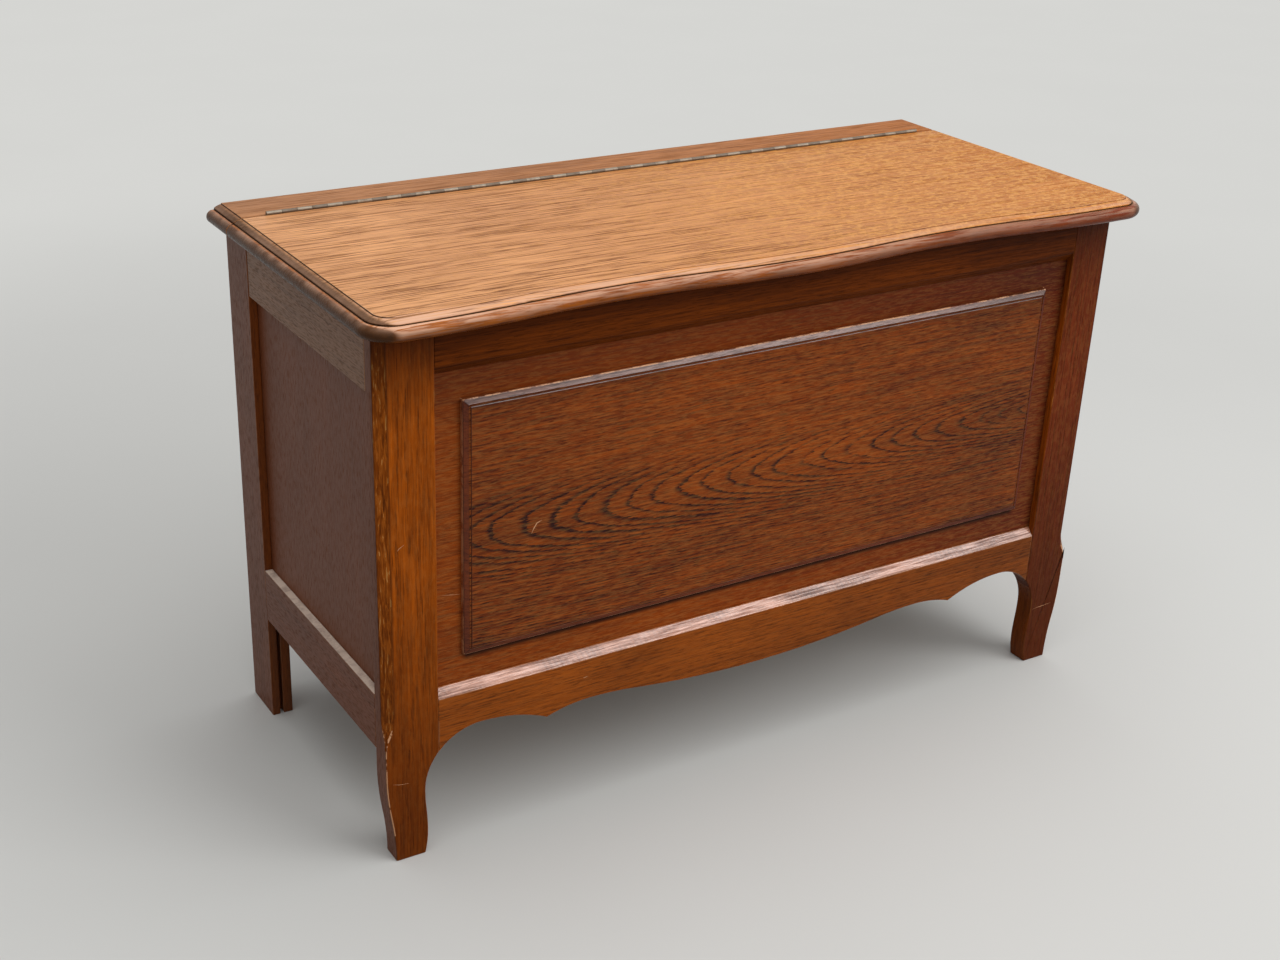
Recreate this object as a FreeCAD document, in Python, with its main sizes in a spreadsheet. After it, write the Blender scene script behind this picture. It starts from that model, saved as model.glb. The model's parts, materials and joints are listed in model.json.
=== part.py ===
import FreeCAD, Part
import math
import os
import Sketcher

# Oak blanket chest: frame and panel body on shaped feet, a fixed strip at the back of the top and a lid
# with a serpentine front on a continuous hinge. Millimetres, +Z up, front towards -Y, origin on the floor
# under the middle of the whole.

# Driving sizes: name, value, meaning
SIZES = [
    ("body_width", 900, "left side face to right side face"),
    ("body_depth", 375, "front face of the frame to its back face"),
    ("body_height", 568, "floor to the underside of the top"),
    ("frame_thick", 24, "every post and rail"),
    ("post_width", 58, "face width of the posts"),
    ("rail_width", 62, "side and back rails"),
    ("rail_drop", 12.5, "lower edge of the side and back rails below the front arch's crown"),
    ("front_rail_width", 50, "front top rail"),
    ("apron_width", 48.5, "apron rail above the crown of its arches"),
    ("rail_bevel_high", 10, "bevel on the front rails' inner edges, on the face"),
    ("rail_bevel_deep", 8, "the same bevel, from front to back"),
    ("open_joint", 2, "gap at the shrunk rear joint of the left top rail"),
    ("groove_offset", 9, "panel groove, from the outer face"),
    ("groove_depth", 9, "panel groove, depth"),
    ("tongue_room", 1, "left free beyond a rail's tongue"),
    ("panel_room", 2, "left free beyond a panel's edge for movement"),
    ("fit_gap", 0.1, "between a tongue or panel and each wall of its groove"),
    ("thin_panel", 4, "plywood panels of the sides and back"),
    ("front_tongue", 6, "edge of the solid front panel, and the front rails' tongues"),
    ("field_side", 30, "flat margin beside the raised field"),
    ("field_top", 29, "flat margin above the raised field"),
    ("field_foot", 31, "flat margin below the raised field"),
    ("field_set_back", 1.5, "face of the field behind the frame's face"),
    ("field_bevel_wide", 6, "bevel round the field, on the face"),
    ("field_bevel_deep", 3, "the same bevel, from front to back"),
    ("quirk_wide", 1.2, "fine groove where the bevel meets the field"),
    ("quirk_deep", 0.8, "depth of that groove"),
    ("corner_chamfer", 10, "leg of the chamfer on the front corners"),
    ("chamfer_stop", 131, "height where the chamfer's stop ends"),
    ("stop_length", 38, "length of the curved stop"),
    ("knee_high", 105, "height where the foot starts to curve in"),
    ("toe_inset", 9, "inward sweep of the toe"),
    ("toe_tuck", 3.4, "inner edge of the toe, in from the ankle"),
    ("ankle_high", 28, "height of the swell on the foot's inner edge"),
    ("ankle_swell", 2.4, "that swell, beyond the arch's spring"),
    ("leg_waist", 15.5, "inner edge of the leg at the arch's spring, in from the post's edge"),
    ("arch_spring", 76, "height of that arch's centre"),
    ("arch_radius", 62.5, "radius of that arch"),
    ("cusp_run", 76, "from the arch's crown along to the cusp"),
    ("cusp_drop", 17.5, "from the arch's crown down to the cusp"),
    ("hump_run", 51, "from the cusp along to the hump"),
    ("hump_rise", 8.5, "from the cusp up to the hump"),
    ("apron_drop", 15, "from the hump down to the middle of the apron"),
    ("hump_share", 0.25, "part of the long ogee that belongs to the hump"),
    ("board_thick", 6, "bottom board"),
    ("board_room", 1, "between the bottom board and the rails"),
    ("cleat_rise", 3.5, "underside of the cleats above the crown of the arches"),
    ("cleat_high", 18, "cleat section, height"),
    ("cleat_wide", 18, "cleat section, width"),
    ("lid_thick", 20, "lid and fixed strip"),
    ("lid_gap", 0.3, "between the closed lid and the body"),
    ("side_overhang", 18, "top beyond the side faces"),
    ("front_overhang", 33.5, "lobes of the lid's front beyond the front face"),
    ("back_overhang", 5, "strip beyond the back face"),
    ("wave_depth", 10.5, "hollows of the lid's front behind its lobes"),
    ("lobe_flat", 29, "straight stretch beside each rounded corner"),
    ("lid_corner", 34, "rounded front corners of the lid"),
    ("nose_step", 1.5, "flat on top of the edge's half-round nose"),
    ("quirk_step", 2, "step above the nose"),
    ("ovolo_high", 4.8, "shallow ovolo above that step, height"),
    ("ovolo_wide", 9.5, "the same ovolo, on plan"),
    ("ovolo_radius", 18, "radius of the ovolo"),
    ("fillet_step", 1.2, "small step at the edge of the flat top"),
    ("strip_width", 58, "fixed strip, front to back"),
    ("hinge_inset", 43, "ends of the continuous hinge from the ends of the top"),
    ("knuckle_pairs", 25, "knuckles on the lid's leaf; the fixed leaf has one more"),
    ("knuckle_gap", 0.3, "between neighbouring knuckles and round them"),
    ("leaf_thick", 1.1, "hinge leaf"),
    ("leaf_high", 15, "hinge leaf below the knuckles"),
    ("leaf_gap", 0.3, "between the closed leaves"),
    ("barrel_radius", 2.2, "outside of a knuckle"),
    ("pin_radius", 1.1, "hinge pin"),
    ("pin_fit", 0.05, "running clearance round the pin"),
    ("axis_rise", 1.2, "hinge axis above the flat top"),
    ("seam_bevel", 1.5, "eased edges of strip and lid at the hinge"),
    ("hinge_screws", 9, "screws in each leaf"),
    ("hinge_screw_end", 25, "end of the leaf to its first screw"),
    ("hinge_screw_drop", 10, "hinge axis down to the screws"),
    ("hinge_screw_long", 16, "length of a hinge screw"),
    ("hinge_screw_radius", 1.5, "shank of a hinge screw"),
    ("hinge_head_radius", 2.8, "countersunk head of a hinge screw"),
    ("long_cleat_screws", 4, "screws in the front and back cleats"),
    ("short_cleat_screws", 2, "screws in the side cleats"),
    ("cleat_screw_end", 70, "end of a cleat to its first screw"),
    ("cleat_screw_long", 32, "length of a cleat screw"),
    ("cleat_screw_radius", 2, "shank of a cleat screw"),
    ("cleat_head_radius", 4, "countersunk head of a cleat screw"),
    ("cleat_head_high", 2.5, "height of that head"),
    ("screw_tip", 4, "pointed end of a screw"),
    ("screw_tip_radius", 0.4, "blunt end of the point"),
    ("screw_fit", 0.05, "clearance round screws and dowels"),
    ("dowel_radius", 4, "dowels under the fixed strip"),
    ("dowel_rail", 18, "dowel length in the back top rail"),
    ("dowel_strip", 12, "dowel length in the strip"),
    ("dowel_end", 120, "end of the rail to its first dowel"),
    ("dowel_count", 4, "dowels under the fixed strip"),
]

# How far a cut runs past the surface
PAST = "2"

# Places worked out from the driving sizes
SIDE = "(Size.body_width / 2)"
FRONT = "((Size.front_overhang - Size.back_overhang - Size.body_depth) / 2)"
BACK = "((Size.front_overhang - Size.back_overhang + Size.body_depth) / 2)"
TOP = "Size.body_height"
LID_TOP = "(Size.body_height + Size.lid_thick)"
POST_INNER = f"({SIDE} - Size.post_width)"
FRAME_INNER = f"({SIDE} - Size.frame_thick)"
FRONT_INNER = f"({FRONT} + Size.frame_thick)"
BACK_INNER = f"({BACK} - Size.frame_thick)"
REAR_POST = f"({BACK} - Size.post_width)"
ARCH_CROWN = "(Size.arch_spring + Size.arch_radius)"
ARCH_INSET = "(Size.post_width - Size.leg_waist + Size.arch_radius)"
ARCH_JOINT = "(Size.arch_spring + sqrt(Size.arch_radius^2 - (Size.arch_radius - Size.leg_waist)^2))"
APRON_TOP = f"({ARCH_CROWN} + Size.apron_width)"
RAIL_FLOOR = f"({ARCH_CROWN} - Size.rail_drop)"
CLEAT_LOW = f"({ARCH_CROWN} + Size.cleat_rise)"
FRONT_RAIL_LOW = "(Size.body_height - Size.front_rail_width)"
TOP_RAIL_LOW = "(Size.body_height - Size.rail_width)"
BOTTOM_RAIL_TOP = f"({RAIL_FLOOR} + Size.rail_width)"
BOARD_LOW = f"({CLEAT_LOW} + Size.cleat_high)"
TONGUE = "(Size.groove_depth - Size.tongue_room)"
ENTRY = "(Size.groove_depth - Size.panel_room)"
THIN_GROOVE = "(Size.thin_panel + 2 * Size.fit_gap)"
FRONT_GROOVE = "(Size.front_tongue + 2 * Size.fit_gap)"
TONGUE_NEAR = "(Size.groove_offset + Size.fit_gap)"
THIN_FAR = f"({TONGUE_NEAR} + Size.thin_panel)"
FRONT_FAR = f"({TONGUE_NEAR} + Size.front_tongue)"
EDGE = f"({SIDE} + Size.side_overhang)"
NOSE = "((Size.lid_thick - Size.quirk_step - Size.ovolo_high - Size.fillet_step) / 2)"
HINGE_HALF = f"({EDGE} - Size.hinge_inset)"
STRIP_FRONT = f"({BACK} + Size.back_overhang - Size.strip_width)"
AXIS_Y = f"({STRIP_FRONT} - Size.leaf_thick - Size.leaf_gap / 2)"
AXIS_Z = f"({LID_TOP} + Size.axis_rise)"
LID_REAR = f"({AXIS_Y} - Size.leaf_thick - Size.leaf_gap / 2)"
LID_FRONT = f"({FRONT} - Size.front_overhang)"
LEAF_TOP = f"({AXIS_Z} - Size.barrel_radius - Size.knuckle_gap)"
BORE = "(Size.pin_radius + Size.pin_fit)"
KNUCKLE_PITCH = f"(2 * {HINGE_HALF} / (2 * Size.knuckle_pairs + 1))"
HINGE_SCREW_X = f"({HINGE_HALF} - Size.hinge_screw_end)"
HINGE_SCREW_Z = f"({AXIS_Z} - Size.hinge_screw_drop)"
CLEAT_SCREW_Z = f"({CLEAT_LOW} + Size.cleat_high / 2)"
LONG_SCREW_X = f"({FRAME_INNER} - Size.cleat_screw_end)"
SHORT_CLEAT_FRONT = f"({FRONT_INNER} + Size.cleat_wide)"
SHORT_CLEAT_BACK = f"({BACK_INNER} - Size.cleat_wide)"
SHORT_SCREW_Y = f"({SHORT_CLEAT_FRONT} + Size.cleat_screw_end)"
SHORT_SCREW_RUN = f"({SHORT_CLEAT_BACK} - {SHORT_CLEAT_FRONT} - 2 * Size.cleat_screw_end)"
DOWEL_X = f"({FRAME_INNER} - Size.dowel_end)"
DOWEL_Y = f"({BACK} - Size.frame_thick / 2)"
FRONT_GROOVE_Y = (f"{FRONT} + Size.groove_offset", f"{FRONT} + Size.groove_offset + {FRONT_GROOVE}")
THIN_GROOVE_FAR = f"(Size.groove_offset + {THIN_GROOVE})"

# Holes and rows shared by fastenings and the wood round them: direction, run and number of each row
CLEAT_HOLE = "Size.cleat_screw_radius + Size.screw_fit"
CLEAT_BITE = "Size.cleat_screw_long - Size.cleat_wide"
HINGE_HOLE = "Size.hinge_screw_radius + Size.screw_fit"
HINGE_BITE = "Size.hinge_screw_long - Size.leaf_thick"
DOWEL_HOLE = "Size.dowel_radius + Size.screw_fit"
LONG_ROW = ("X_Axis", f"2 * {LONG_SCREW_X}", "Size.long_cleat_screws")
SHORT_ROW = ("Y_Axis", SHORT_SCREW_RUN, "Size.short_cleat_screws")
HINGE_ROW = ("X_Axis", f"2 * {HINGE_SCREW_X}", "Size.hinge_screws")
DOWEL_ROW = ("X_Axis", f"2 * {DOWEL_X}", "Size.dowel_count")
HEAD_HIGH = {"hinge": "Size.leaf_thick", "cleat": "Size.cleat_head_high"}

AIM = {
    "+X": FreeCAD.Rotation(FreeCAD.Vector(0, 1, 0), 90),
    "-X": FreeCAD.Rotation(FreeCAD.Vector(0, 1, 0), -90),
    "+Y": FreeCAD.Rotation(FreeCAD.Vector(1, 0, 0), -90),
    "-Y": FreeCAD.Rotation(FreeCAD.Vector(1, 0, 0), 90),
    "+Z": FreeCAD.Rotation(),
}
SIDE_NAMES = {-1: "left", 1: "right"}

doc = FreeCAD.newDocument("BlanketChest")
sheet = doc.addObject("Spreadsheet::Sheet", "Size")
for row_number, (alias, number, meaning) in enumerate(SIZES, 1):
    sheet.set(f"A{row_number}", alias)
    sheet.set(f"B{row_number}", str(number))
    sheet.set(f"C{row_number}", meaning)
    sheet.setAlias(f"B{row_number}", alias)
doc.recompute()


# Building blocks

def value(expression):
    return float(sheet.evalExpression(expression))


def origin_part(body, role):
    return next(part for part in body.Origin.OriginFeatures if part.Role == role)


def new_body(label):
    body = doc.addObject("PartDesign::Body", label)
    body.Label = label
    return body


def reach(start, way, near, far):
    """Low and high ends of a stretch measured from a start, forwards (1) or backwards (-1)."""
    if way > 0:
        return f"{start} + {near}", f"{start} + {far}"
    return f"{start} - {far}", f"{start} - {near}"


def even(half):
    """A stretch centred on the middle plane."""
    return f"-({half})", f"{half}"


def block(body, name, x, y, z, cut=False):
    """Add or cut a box between the given ends along each axis."""
    kind = "SubtractiveBox" if cut else "AdditiveBox"
    feature = body.newObject("PartDesign::" + kind, name)
    for axis, side, (low, high) in (("x", "Length", x), ("y", "Width", y), ("z", "Height", z)):
        feature.setExpression("Placement.Base." + axis, low)
        feature.setExpression(side, f"({high}) - ({low})")
    return feature


def rod(body, name, at, aim, length, radius, end_radius=None, cut=False):
    """Add or cut a cylinder, or a cone where an end radius is given, along one axis."""
    kind = ("Subtractive" if cut else "Additive") + ("Cone" if end_radius else "Cylinder")
    feature = body.newObject("PartDesign::" + kind, name)
    for axis, place in zip("xyz", at):
        feature.setExpression("Placement.Base." + axis, place)
    feature.setExpression("Height", length)
    if end_radius:
        feature.setExpression("Radius1", radius)
        feature.setExpression("Radius2", end_radius)
    else:
        feature.setExpression("Radius", radius)
    feature.Placement.Rotation = AIM[aim]
    return feature


def row(body, name, originals, axis, length, count):
    """Repeat features along an axis over a length."""
    pattern = body.newObject("PartDesign::LinearPattern", name)
    pattern.Originals = originals
    pattern.Direction = (origin_part(body, axis), [""])
    pattern.setExpression("Length", length)
    pattern.setExpression("Occurrences", count)
    body.Tip = pattern
    return pattern


def arc_between(start, end, radius, turn):
    """Arc from start to end, turning left (1) or right (-1)."""
    chord = end - start
    left = FreeCAD.Vector(-chord.y, chord.x, 0).normalize()
    rise = math.sqrt(max(radius * radius - chord.Length ** 2 / 4, 0))
    centre = (start + end) * 0.5 + left * (turn * rise)
    angles = [math.atan2(p.y - centre.y, p.x - centre.x) for p in (start, end)]
    circle = Part.Circle(centre, FreeCAD.Vector(0, 0, 1), radius)
    return Part.ArcOfCircle(circle, *(angles if turn > 0 else reversed(angles)))


def outline(body, name, plane, steps, closed=True):
    """Sketch through steps (x, y) or (x, y, radius, turn): a corner and the edge that leaves it."""
    sketch = body.newObject("Sketcher::SketchObject", name)
    sketch.AttachmentSupport = [(origin_part(body, plane), "")]
    sketch.MapMode = "FlatFace"
    corners = [FreeCAD.Vector(value(step[0]), value(step[1]), 0) for step in steps]
    count = len(steps) if closed else len(steps) - 1
    ends = []
    for i in range(count):
        start, end = corners[i], corners[(i + 1) % len(steps)]
        if len(steps[i]) == 2:
            edge = sketch.addGeometry(Part.LineSegment(start, end))
            ends.append((edge, 1, 2))
        else:
            radius, turn = steps[i][2:]
            edge = sketch.addGeometry(arc_between(start, end, value(radius), turn))
            ends.append((edge, 1, 2) if turn > 0 else (edge, 2, 1))
            bind(sketch, ("Radius", edge), radius)
    for i in range(len(steps)):
        edge, point = (ends[i][0], ends[i][1]) if i < count else (ends[-1][0], ends[-1][2])
        bind(sketch, ("DistanceX", -1, 1, edge, point), steps[i][0])
        bind(sketch, ("DistanceY", -1, 1, edge, point), steps[i][1])
    for i in range(count if closed else count - 1):
        after = ends[(i + 1) % count]
        sketch.addConstraint(Sketcher.Constraint("Coincident", ends[i][0], ends[i][2], after[0], after[1]))
    return sketch


def bind(sketch, constraint, expression):
    """Add a constraint and tie its value to an expression."""
    number = sketch.addConstraint(Sketcher.Constraint(*constraint, value(expression)))
    sketch.setExpression(f"Constraints[{number}]", expression)


def pad(body, name, sketch, length):
    """Thicken a sketch along the normal of its plane."""
    feature = body.newObject("PartDesign::Pad", name)
    feature.Profile = sketch
    feature.setExpression("Length", length)
    return feature


def pocket(body, name, sketch, length):
    """Cut a sketch evenly to both sides of its plane."""
    feature = body.newObject("PartDesign::Pocket", name)
    feature.Profile = sketch
    feature.SideType = "Symmetric"
    feature.setExpression("Length", length)
    return feature


def s_radius(across, along):
    """Radius of two equal arcs that make a smooth S with parallel ends."""
    return f"(({across})^2 + ({along})^2) / (4 * ({across}))"


def quarter_radius(rise, run):
    """Radius of an arc that is level at one end and covers the given rise and run."""
    return f"(({rise})^2 + ({run})^2) / (2 * ({rise}))"


def screw(body, at, aim, size, repeat):
    """A row of countersunk wood screws, turned from half their outline; size names the screw's family."""
    head_radius, head_high = f"Size.{size}_head_radius", HEAD_HIGH[size]
    shank, long = f"Size.{size}_screw_radius", f"Size.{size}_screw_long"
    half = [
        ("0", "0"),
        (head_radius, "0"),
        (shank, head_high),
        (shank, f"{long} - Size.screw_tip"),
        ("Size.screw_tip_radius", long),
        ("0", long),
    ]
    along_x = aim[1] == "X"
    steps = [(f"{aim[0]}({far})", out) if along_x else (out, f"{aim[0]}({far})") for out, far in half]
    sketch = outline(body, "Half", "XY_Plane", steps)
    for axis, place in zip("xyz", at):
        sketch.setExpression("AttachmentOffset.Base." + axis, place)
    turned = body.newObject("PartDesign::Revolution", "Turned")
    turned.Profile = sketch
    turned.ReferenceAxis = (sketch, ["H_Axis" if along_x else "V_Axis"])
    row(body, "Row", [turned], *repeat)


def screw_sinks(body, at, aim, size, through, repeat):
    """Countersunk clearance holes for such a row."""
    wide = f"Size.{size}_screw_radius + Size.screw_fit"
    head = f"Size.{size}_head_radius + Size.screw_fit"
    parts = [rod(body, "Sink", at, aim, HEAD_HIGH[size], head, wide, cut=True)]
    if through:
        parts.append(rod(body, "Clearance", at, aim, through, wide, cut=True))
    row(body, "Sinks", parts, *repeat)


def holes(body, at, aim, depth, radius, repeat):
    """A row of blind holes."""
    hole = rod(body, "Hole", at, aim, depth, radius, cut=True)
    row(body, "Holes", [hole], *repeat)


# Front posts, their feet and their stop-chamfered corners

def front_post(side):
    body = new_body(f"front_{SIDE_NAMES[side]}_post")

    def across(inset):
        return f"{side} * ({SIDE} - ({inset}))"

    spring = "Size.post_width - Size.leg_waist"
    ankle = f"{spring} + Size.ankle_swell"
    toe = f"{ankle} - Size.toe_tuck"
    outer_radius = s_radius("Size.toe_inset", "Size.knee_high")
    inner_radius = s_radius("Size.ankle_swell", "Size.arch_spring - Size.ankle_high")
    toe_radius = quarter_radius("Size.toe_tuck", "Size.ankle_high")
    left, right = -side, side
    steps = [
        (across("0"), TOP),
        (across("0"), "Size.knee_high", outer_radius, left),
        (across("Size.toe_inset / 2"), "Size.knee_high / 2", outer_radius, right),
        (across("Size.toe_inset"), "0"),
        (across(toe), "0", toe_radius, left),
        (across(ankle), "Size.ankle_high", inner_radius, left),
        (across(f"{spring} + Size.ankle_swell / 2"), "(Size.ankle_high + Size.arch_spring) / 2",
         inner_radius, right),
        (across(spring), "Size.arch_spring", "Size.arch_radius", right),
        (across("Size.post_width"), ARCH_JOINT),
        (across("Size.post_width"), TOP),
    ]
    sketch = outline(body, "Face", "XZ_Plane", steps)
    sketch.setExpression("AttachmentOffset.Base.z", f"-{FRONT}")
    board = pad(body, "Board", sketch, "Size.frame_thick")
    board.Reversed = True

    # The chamfer is drawn on the upright plane that halves the corner, so its stop is an S there.
    depth = "(Size.corner_chamfer / sqrt(2))"
    stop_radius = s_radius(depth, "Size.stop_length")
    stop_top = "(Size.chamfer_stop + Size.stop_length)"
    steps = [
        (f"-{PAST}", f"{TOP} + {PAST}"),
        (f"-{PAST}", "Size.chamfer_stop"),
        ("0", "Size.chamfer_stop", stop_radius, -1),
        (f"{depth} / 2", "Size.chamfer_stop + Size.stop_length / 2", stop_radius, 1),
        (depth, stop_top),
        (depth, f"{TOP} + {PAST}"),
    ]
    sketch = outline(body, "Corner", "XZ_Plane", steps)
    turn = 45 if side < 0 else 135
    upright = FreeCAD.Rotation(FreeCAD.Vector(0, 1, 0), turn)
    sketch.AttachmentOffset = FreeCAD.Placement(FreeCAD.Vector(), upright)
    sketch.setExpression("AttachmentOffset.Base.x", across("0"))
    sketch.setExpression("AttachmentOffset.Base.z", f"-{FRONT}")
    pocket(body, "Chamfer", sketch, "4 * Size.corner_chamfer")

    outer = f"{side} * {SIDE}"
    past_top = f"{TOP} + {PAST}"
    block(body, "FrontGroove",
          reach(outer, -side, "(Size.post_width - Size.groove_depth)", f"(Size.post_width + {PAST})"),
          FRONT_GROOVE_Y,
          (f"{ARCH_CROWN} - Size.tongue_room", past_top), cut=True)
    block(body, "SideGroove",
          reach(outer, -side, "Size.groove_offset", THIN_GROOVE_FAR),
          reach(FRONT_INNER, -1, f"(-{PAST})", "Size.groove_depth"),
          (f"{RAIL_FLOOR} - Size.tongue_room", past_top), cut=True)


# Rear posts, with both panel grooves ploughed from end to end

def rear_post(side):
    body = new_body(f"rear_{SIDE_NAMES[side]}_post")
    outer = f"{side} * {SIDE}"
    whole = (f"-{PAST}", f"{TOP} + {PAST}")
    block(body, "Board", reach(outer, -side, "0", "Size.frame_thick"), (REAR_POST, BACK), ("0", TOP))
    block(body, "SideGroove",
          reach(outer, -side, "Size.groove_offset", THIN_GROOVE_FAR),
          reach(REAR_POST, 1, f"(-{PAST})", "Size.groove_depth"), whole, cut=True)
    inner = f"{side} * {FRAME_INNER}"
    block(body, "BackGroove", reach(inner, side, f"(-{PAST})", "Size.groove_depth"),
          reach(BACK, -1, "Size.groove_offset", THIN_GROOVE_FAR), whole, cut=True)


# Front frame between the posts

def front_top_rail():
    body = new_body("front_top_rail")
    steps = [
        (FRONT, f"{FRONT_RAIL_LOW} + Size.rail_bevel_high"),
        (f"{FRONT} + Size.rail_bevel_deep", FRONT_RAIL_LOW),
        (FRONT_INNER, FRONT_RAIL_LOW),
        (FRONT_INNER, TOP),
        (FRONT, TOP),
    ]
    board = pad(body, "Board", outline(body, "Section", "YZ_Plane", steps), f"2 * {POST_INNER}")
    board.SideType = "Symmetric"
    block(body, "Tongues", even(f"{POST_INNER} + {TONGUE}"), reach(FRONT, 1, TONGUE_NEAR, FRONT_FAR),
          (f"{FRONT_RAIL_LOW} + Size.groove_depth", TOP))
    block(body, "Groove", even(f"{POST_INNER} + {PAST}"), FRONT_GROOVE_Y,
          reach(FRONT_RAIL_LOW, 1, f"(-{PAST})", "Size.groove_depth"), cut=True)


def front_apron_rail():
    body = new_body("front_apron_rail")
    cusp_x = f"({SIDE} - {ARCH_INSET} - Size.cusp_run)"
    hump_x = f"({cusp_x} - Size.hump_run)"
    cusp_z = f"({ARCH_CROWN} - Size.cusp_drop)"
    hump_z = f"({cusp_z} + Size.hump_rise)"
    ogee = f"({quarter_radius('Size.apron_drop', hump_x)})"
    turn_x = f"{hump_x} * (1 - Size.hump_share)"
    turn_z = f"{hump_z} - Size.apron_drop * Size.hump_share"
    # Corners of the right half of the lower edge, from the middle outwards, with the edge that follows each
    half = [
        (turn_x, turn_z, f"{ogee} * Size.hump_share"),
        (hump_x, hump_z, quarter_radius("Size.hump_rise", "Size.hump_run")),
        (cusp_x, cusp_z, quarter_radius("Size.cusp_drop", "Size.cusp_run")),
        (f"{SIDE} - {ARCH_INSET}", ARCH_CROWN, "Size.arch_radius"),
        (POST_INNER, ARCH_JOINT, None),
    ]
    steps = [(f"-({half[i][0]})", half[i][1], half[i - 1][2], -1) for i in (4, 3, 2, 1)]
    steps.append((f"-({turn_x})", turn_z, f"{ogee} * (1 - Size.hump_share)", 1))
    steps += [(x, z, radius, -1) for x, z, radius in half[:-1]]
    steps += [(POST_INNER, ARCH_JOINT), (POST_INNER, APRON_TOP), (f"-{POST_INNER}", APRON_TOP)]
    sketch = outline(body, "Face", "XZ_Plane", steps)
    sketch.setExpression("AttachmentOffset.Base.z", f"-{FRONT}")
    board = pad(body, "Board", sketch, "Size.frame_thick")
    board.Reversed = True
    steps = [
        (FRONT, f"{APRON_TOP} - Size.rail_bevel_high"),
        (f"{FRONT} + Size.rail_bevel_deep", APRON_TOP),
        (f"{FRONT} + Size.rail_bevel_deep", f"{APRON_TOP} + {PAST}"),
        (f"{FRONT} - {PAST}", f"{APRON_TOP} + {PAST}"),
        (f"{FRONT} - {PAST}", f"{APRON_TOP} - Size.rail_bevel_high"),
    ]
    pocket(body, "Bevel", outline(body, "BevelSection", "YZ_Plane", steps), "2 * Size.body_width")
    block(body, "Tongues", even(f"{POST_INNER} + {TONGUE}"), reach(FRONT, 1, TONGUE_NEAR, FRONT_FAR),
          (ARCH_CROWN, f"{APRON_TOP} - Size.groove_depth"))
    block(body, "Groove", even(f"{POST_INNER} + {TONGUE}"), FRONT_GROOVE_Y,
          reach(APRON_TOP, -1, f"(-{PAST})", "Size.groove_depth"), cut=True)
    first_screw = (f"-{LONG_SCREW_X}", FRONT_INNER, CLEAT_SCREW_Z)
    holes(body, first_screw, "-Y", CLEAT_BITE, CLEAT_HOLE, LONG_ROW)


def front_panel():
    body = new_body("front_panel")
    block(body, "Margin", even(f"{POST_INNER} + {ENTRY}"), reach(FRONT, 1, TONGUE_NEAR, FRONT_FAR),
          (f"{APRON_TOP} - {ENTRY}", f"{FRONT_RAIL_LOW} + {ENTRY}"))
    field_x = f"({POST_INNER} - Size.field_side)"
    field_z = (f"({APRON_TOP} + Size.field_foot)", f"({FRONT_RAIL_LOW} - Size.field_top)")
    face = f"({FRONT} + Size.field_set_back)"
    field = block(body, "Field", even(field_x), (face, f"{FRONT} + {TONGUE_NEAR}"), field_z)
    doc.recompute()
    front_edges = [f"Edge{i}" for i, edge in enumerate(field.Shape.Edges, 1)
                   if abs(edge.BoundBox.YMin - value(face)) + abs(edge.BoundBox.YMax - value(face)) < 1e-3]
    bevel = body.newObject("PartDesign::Chamfer", "Bevel")
    bevel.Base = (field, front_edges)
    bevel.ChamferType = "Two distances"
    bevel.setExpression("Size", "Size.field_bevel_deep")
    bevel.setExpression("Size2", "Size.field_bevel_wide")
    inner_x = f"({field_x} - Size.field_bevel_wide)"
    inner_z = (f"({field_z[0]} + Size.field_bevel_wide)", f"({field_z[1]} - Size.field_bevel_wide)")
    deep = (f"{face} - {PAST}", f"{face} + Size.quirk_deep")
    for side in SIDE_NAMES:
        upright = reach(f"{side} * {inner_x}", -side, "0", "Size.quirk_wide")
        block(body, "QuirkUpright", upright, deep, inner_z, cut=True)
    block(body, "QuirkTop", even(inner_x), deep, reach(inner_z[1], -1, "0", "Size.quirk_wide"), cut=True)
    block(body, "QuirkFoot", even(inner_x), deep, reach(inner_z[0], 1, "0", "Size.quirk_wide"), cut=True)


# Sides: two rails and a thin panel each, tongued into the grooves of the posts

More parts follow.
